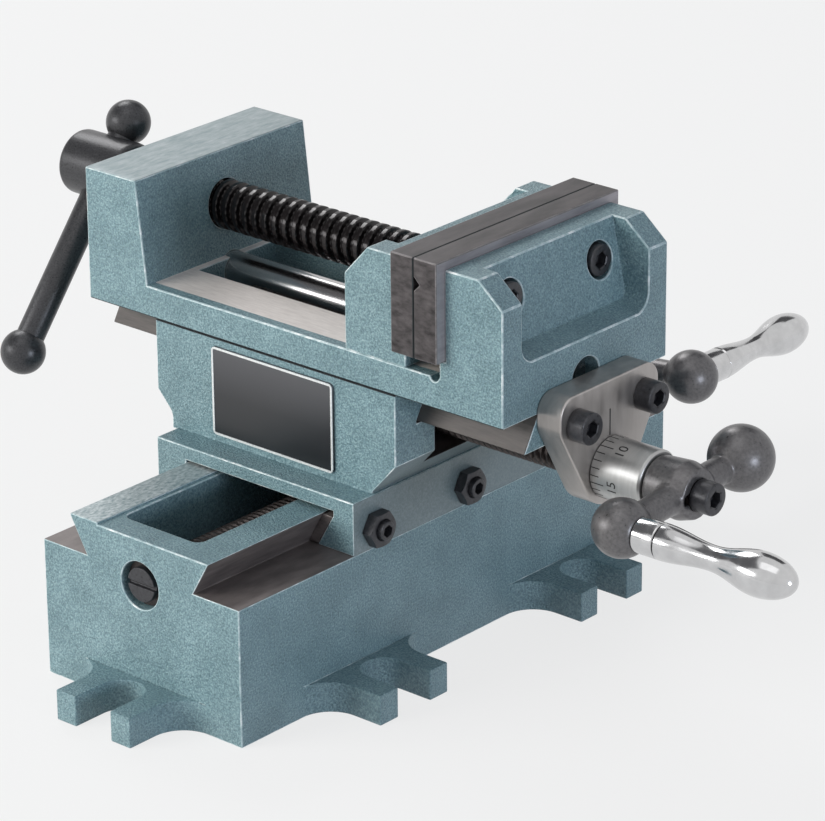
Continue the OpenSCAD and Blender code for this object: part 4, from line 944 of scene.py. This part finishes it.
dressed("nameplate", 0.2, [tag_black_painted_reflection])
low, high = (Vector(corner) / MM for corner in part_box("nameplate"))
BORDER, PROUD, SUNK, OUTER_ROUND, INNER_ROUND = 0.9, 0.25, 0.1, 1.9, 0.6
half_x, half_z = (high.x - low.x) / 2 - 0.1, (high.z - low.z) / 2 - 0.1
middle = (low + high) / 2
outer = rounded_loop(half_x, half_z, OUTER_ROUND)
inner = rounded_loop(half_x - BORDER, half_z - BORDER, INNER_ROUND)
depths = [(outer, low.y + SUNK), (outer, low.y - PROUD), (inner, low.y - PROUD), (inner, low.y + SUNK)]
work = bmesh.new()
loops = [[work.verts.new(Vector((middle.x + x, y, middle.z + z)) * MM) for x, z in loop] for loop, y in depths]
for here, there in zip(loops, loops[1:] + loops[:1]):
    for i in range(len(here)):
        j = (i + 1) % len(here)
        work.faces.new((here[i], here[j], there[j], there[i]))
bmesh.ops.recalc_face_normals(work, faces=work.faces)
border_mesh = finished_mesh("nameplate_border", work, tag_frame)
shade(border_mesh)
border = to_object("nameplate_border", border_mesh)
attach(border, "saddle")
INDEX_LOW, INDEX_HIGH, INDEX_HALF = 111, 122, 0.3
index_line = slab("index_line", (130.45, SADDLE_Y - INDEX_HALF, INDEX_LOW), (130.6, SADDLE_Y + INDEX_HALF, INDEX_HIGH),
                  ink, 0.03)
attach(index_line, "vise_body")
print("border faces:", len(border_mesh.polygons))

# %% [markdown]
# ## Floor and light
# The photograph has a pale, even background. The floor is nearly white and shows a faint shadow. Under the hollow
# base it is plain grey, so that it stays dark there. A large soft lamp at the left lights the near sides, weaker
# ones light the right sides and the tops, and the world fills the shadows. Cards that only reflections see give
# the polished parts their dark and bright bands, as in a studio.

# %% Floor and light
def watched(tree):
    path = add(tree, "ShaderNodeLightPath").outputs
    seen = path["Is Camera Ray"]
    for kind in ("Is Glossy Ray", "Is Transmission Ray"):
        seen = calc(tree, "MAXIMUM", seen, path[kind])
    return seen


REACH, UNDER_X, UNDER_Y = 8.0, 0.048, 0.126
GLOW_SHARE = 0.8
corners = [(x * sx, y * sy, 0) for x, y in ((REACH, REACH), (UNDER_X, UNDER_Y))
           for sx, sy in ((-1, -1), (1, -1), (1, 1), (-1, 1))]
floor_mesh = bpy.data.meshes.new("floor")
around_patch = [(i, (i + 1) % 4, (i + 1) % 4 + 4, i + 4) for i in range(4)]
floor_mesh.from_pydata(corners, [], around_patch + [(4, 5, 6, 7)])
floor_mesh.polygons[4].material_index = 1
floor_finish = bpy.data.materials.new("pale_floor")
tree = bare_tree(floor_finish)
diffuse = add(tree, "ShaderNodeBsdfDiffuse", {"Color": linear("#e4e4e4")})
glow = add(tree, "ShaderNodeEmission", {"Color": linear("#fafafa"), "Strength": 1.0})
seen = calc(tree, "MULTIPLY", watched(tree), GLOW_SHARE)
mixed = add(tree, "ShaderNodeMixShader", {0: seen, 1: diffuse.outputs[0], 2: glow.outputs[0]})
add(tree, "ShaderNodeOutputMaterial", {"Surface": mixed.outputs[0]})
floor_mesh.materials.append(floor_finish)
floor_mesh.materials.append(new_finish("shaded_floor", Base_Color=linear("#8c8c8c"), Roughness=0.9)[0])
to_object("floor", floor_mesh)

world = bpy.data.worlds.new("studio")
tree = bare_tree(world)
fill = add(tree, "ShaderNodeBackground", {"Color": linear("#dbe6f2"), "Strength": 0.33})
shown = add(tree, "ShaderNodeBackground", {"Color": linear("#efefef"), "Strength": 1.0})
mixed = add(tree, "ShaderNodeMixShader", {0: watched(tree), 1: fill.outputs[0], 2: shown.outputs[0]})
add(tree, "ShaderNodeOutputWorld", {"Surface": mixed.outputs[0]})
scene.world = world


def lamp(name, at, aim, size, power, code="#ffffff"):
    data = bpy.data.lights.new(name, "AREA")
    data.shape, data.size, data.energy, data.color = "SQUARE", size, power, linear(code)[:3]
    made = bpy.data.objects.new(name, data)
    made.location = at
    made.rotation_euler = (Vector(aim) - Vector(at)).to_track_quat("-Z", "Y").to_euler()
    scene.collection.objects.link(made)
    return made


# Each lamp says: place, aim, size in metres, power in watts and colour.
key = lamp("key", (-1.3, -2.1, 0.85), (0, 0, 0.1), 1.7, 70, "#fffdf6")
key.visible_glossy = False
lamp("side", (2.4, -0.3, 0.32), (0, 0, 0.08), 0.5, 15, "#e6f0ff")
lamp("top", (0.1, -0.7, 2.3), (0, 0, 0.1), 1.4, 4)
lamp("rim", (-1.35, 0.7, 1.5), (0, 0, 0.1), 0.8, 12)


def card(name, at, aim, width, height, code, strength=1.0):
    card_mesh = bpy.data.meshes.new(name)
    w, h = width / 2, height / 2
    card_mesh.from_pydata([(-w, -h, 0), (w, -h, 0), (w, h, 0), (-w, h, 0)], [], [(0, 1, 2, 3)])
    turn = (Vector(aim) - Vector(at)).to_track_quat("-Z", "Y").to_matrix().to_4x4()
    card_mesh.transform(Matrix.Translation(at) @ turn)
    finish = bpy.data.materials.new(name)
    tree = bare_tree(finish)
    grey = add(tree, "ShaderNodeEmission", {"Color": linear(code), "Strength": strength})
    add(tree, "ShaderNodeOutputMaterial", {"Surface": grey.outputs[0]})
    card_mesh.materials.append(finish)
    sheet = to_object(name, card_mesh)
    sheet.visible_camera = sheet.visible_diffuse = sheet.visible_transmission = sheet.visible_shadow = False


# Each card says: place, aim, width and height in metres, colour and strength.
card("card_left", (-1.6, -0.4, 1.75), (0.1, -0.2, 0.1), 3.4, 1.9, "#6c6c6e")
card("card_back", (-0.45, 1.6, 1.4), (0.17, 0.27, 0.06), 1.0, 1.0, "#58585a")
card("softbox", (-1.4, -2.07, 0.8), (0.1, -0.2, 0.1), 1.4, 0.6, "#ffffff", 6.0)
print("lamps: 4")
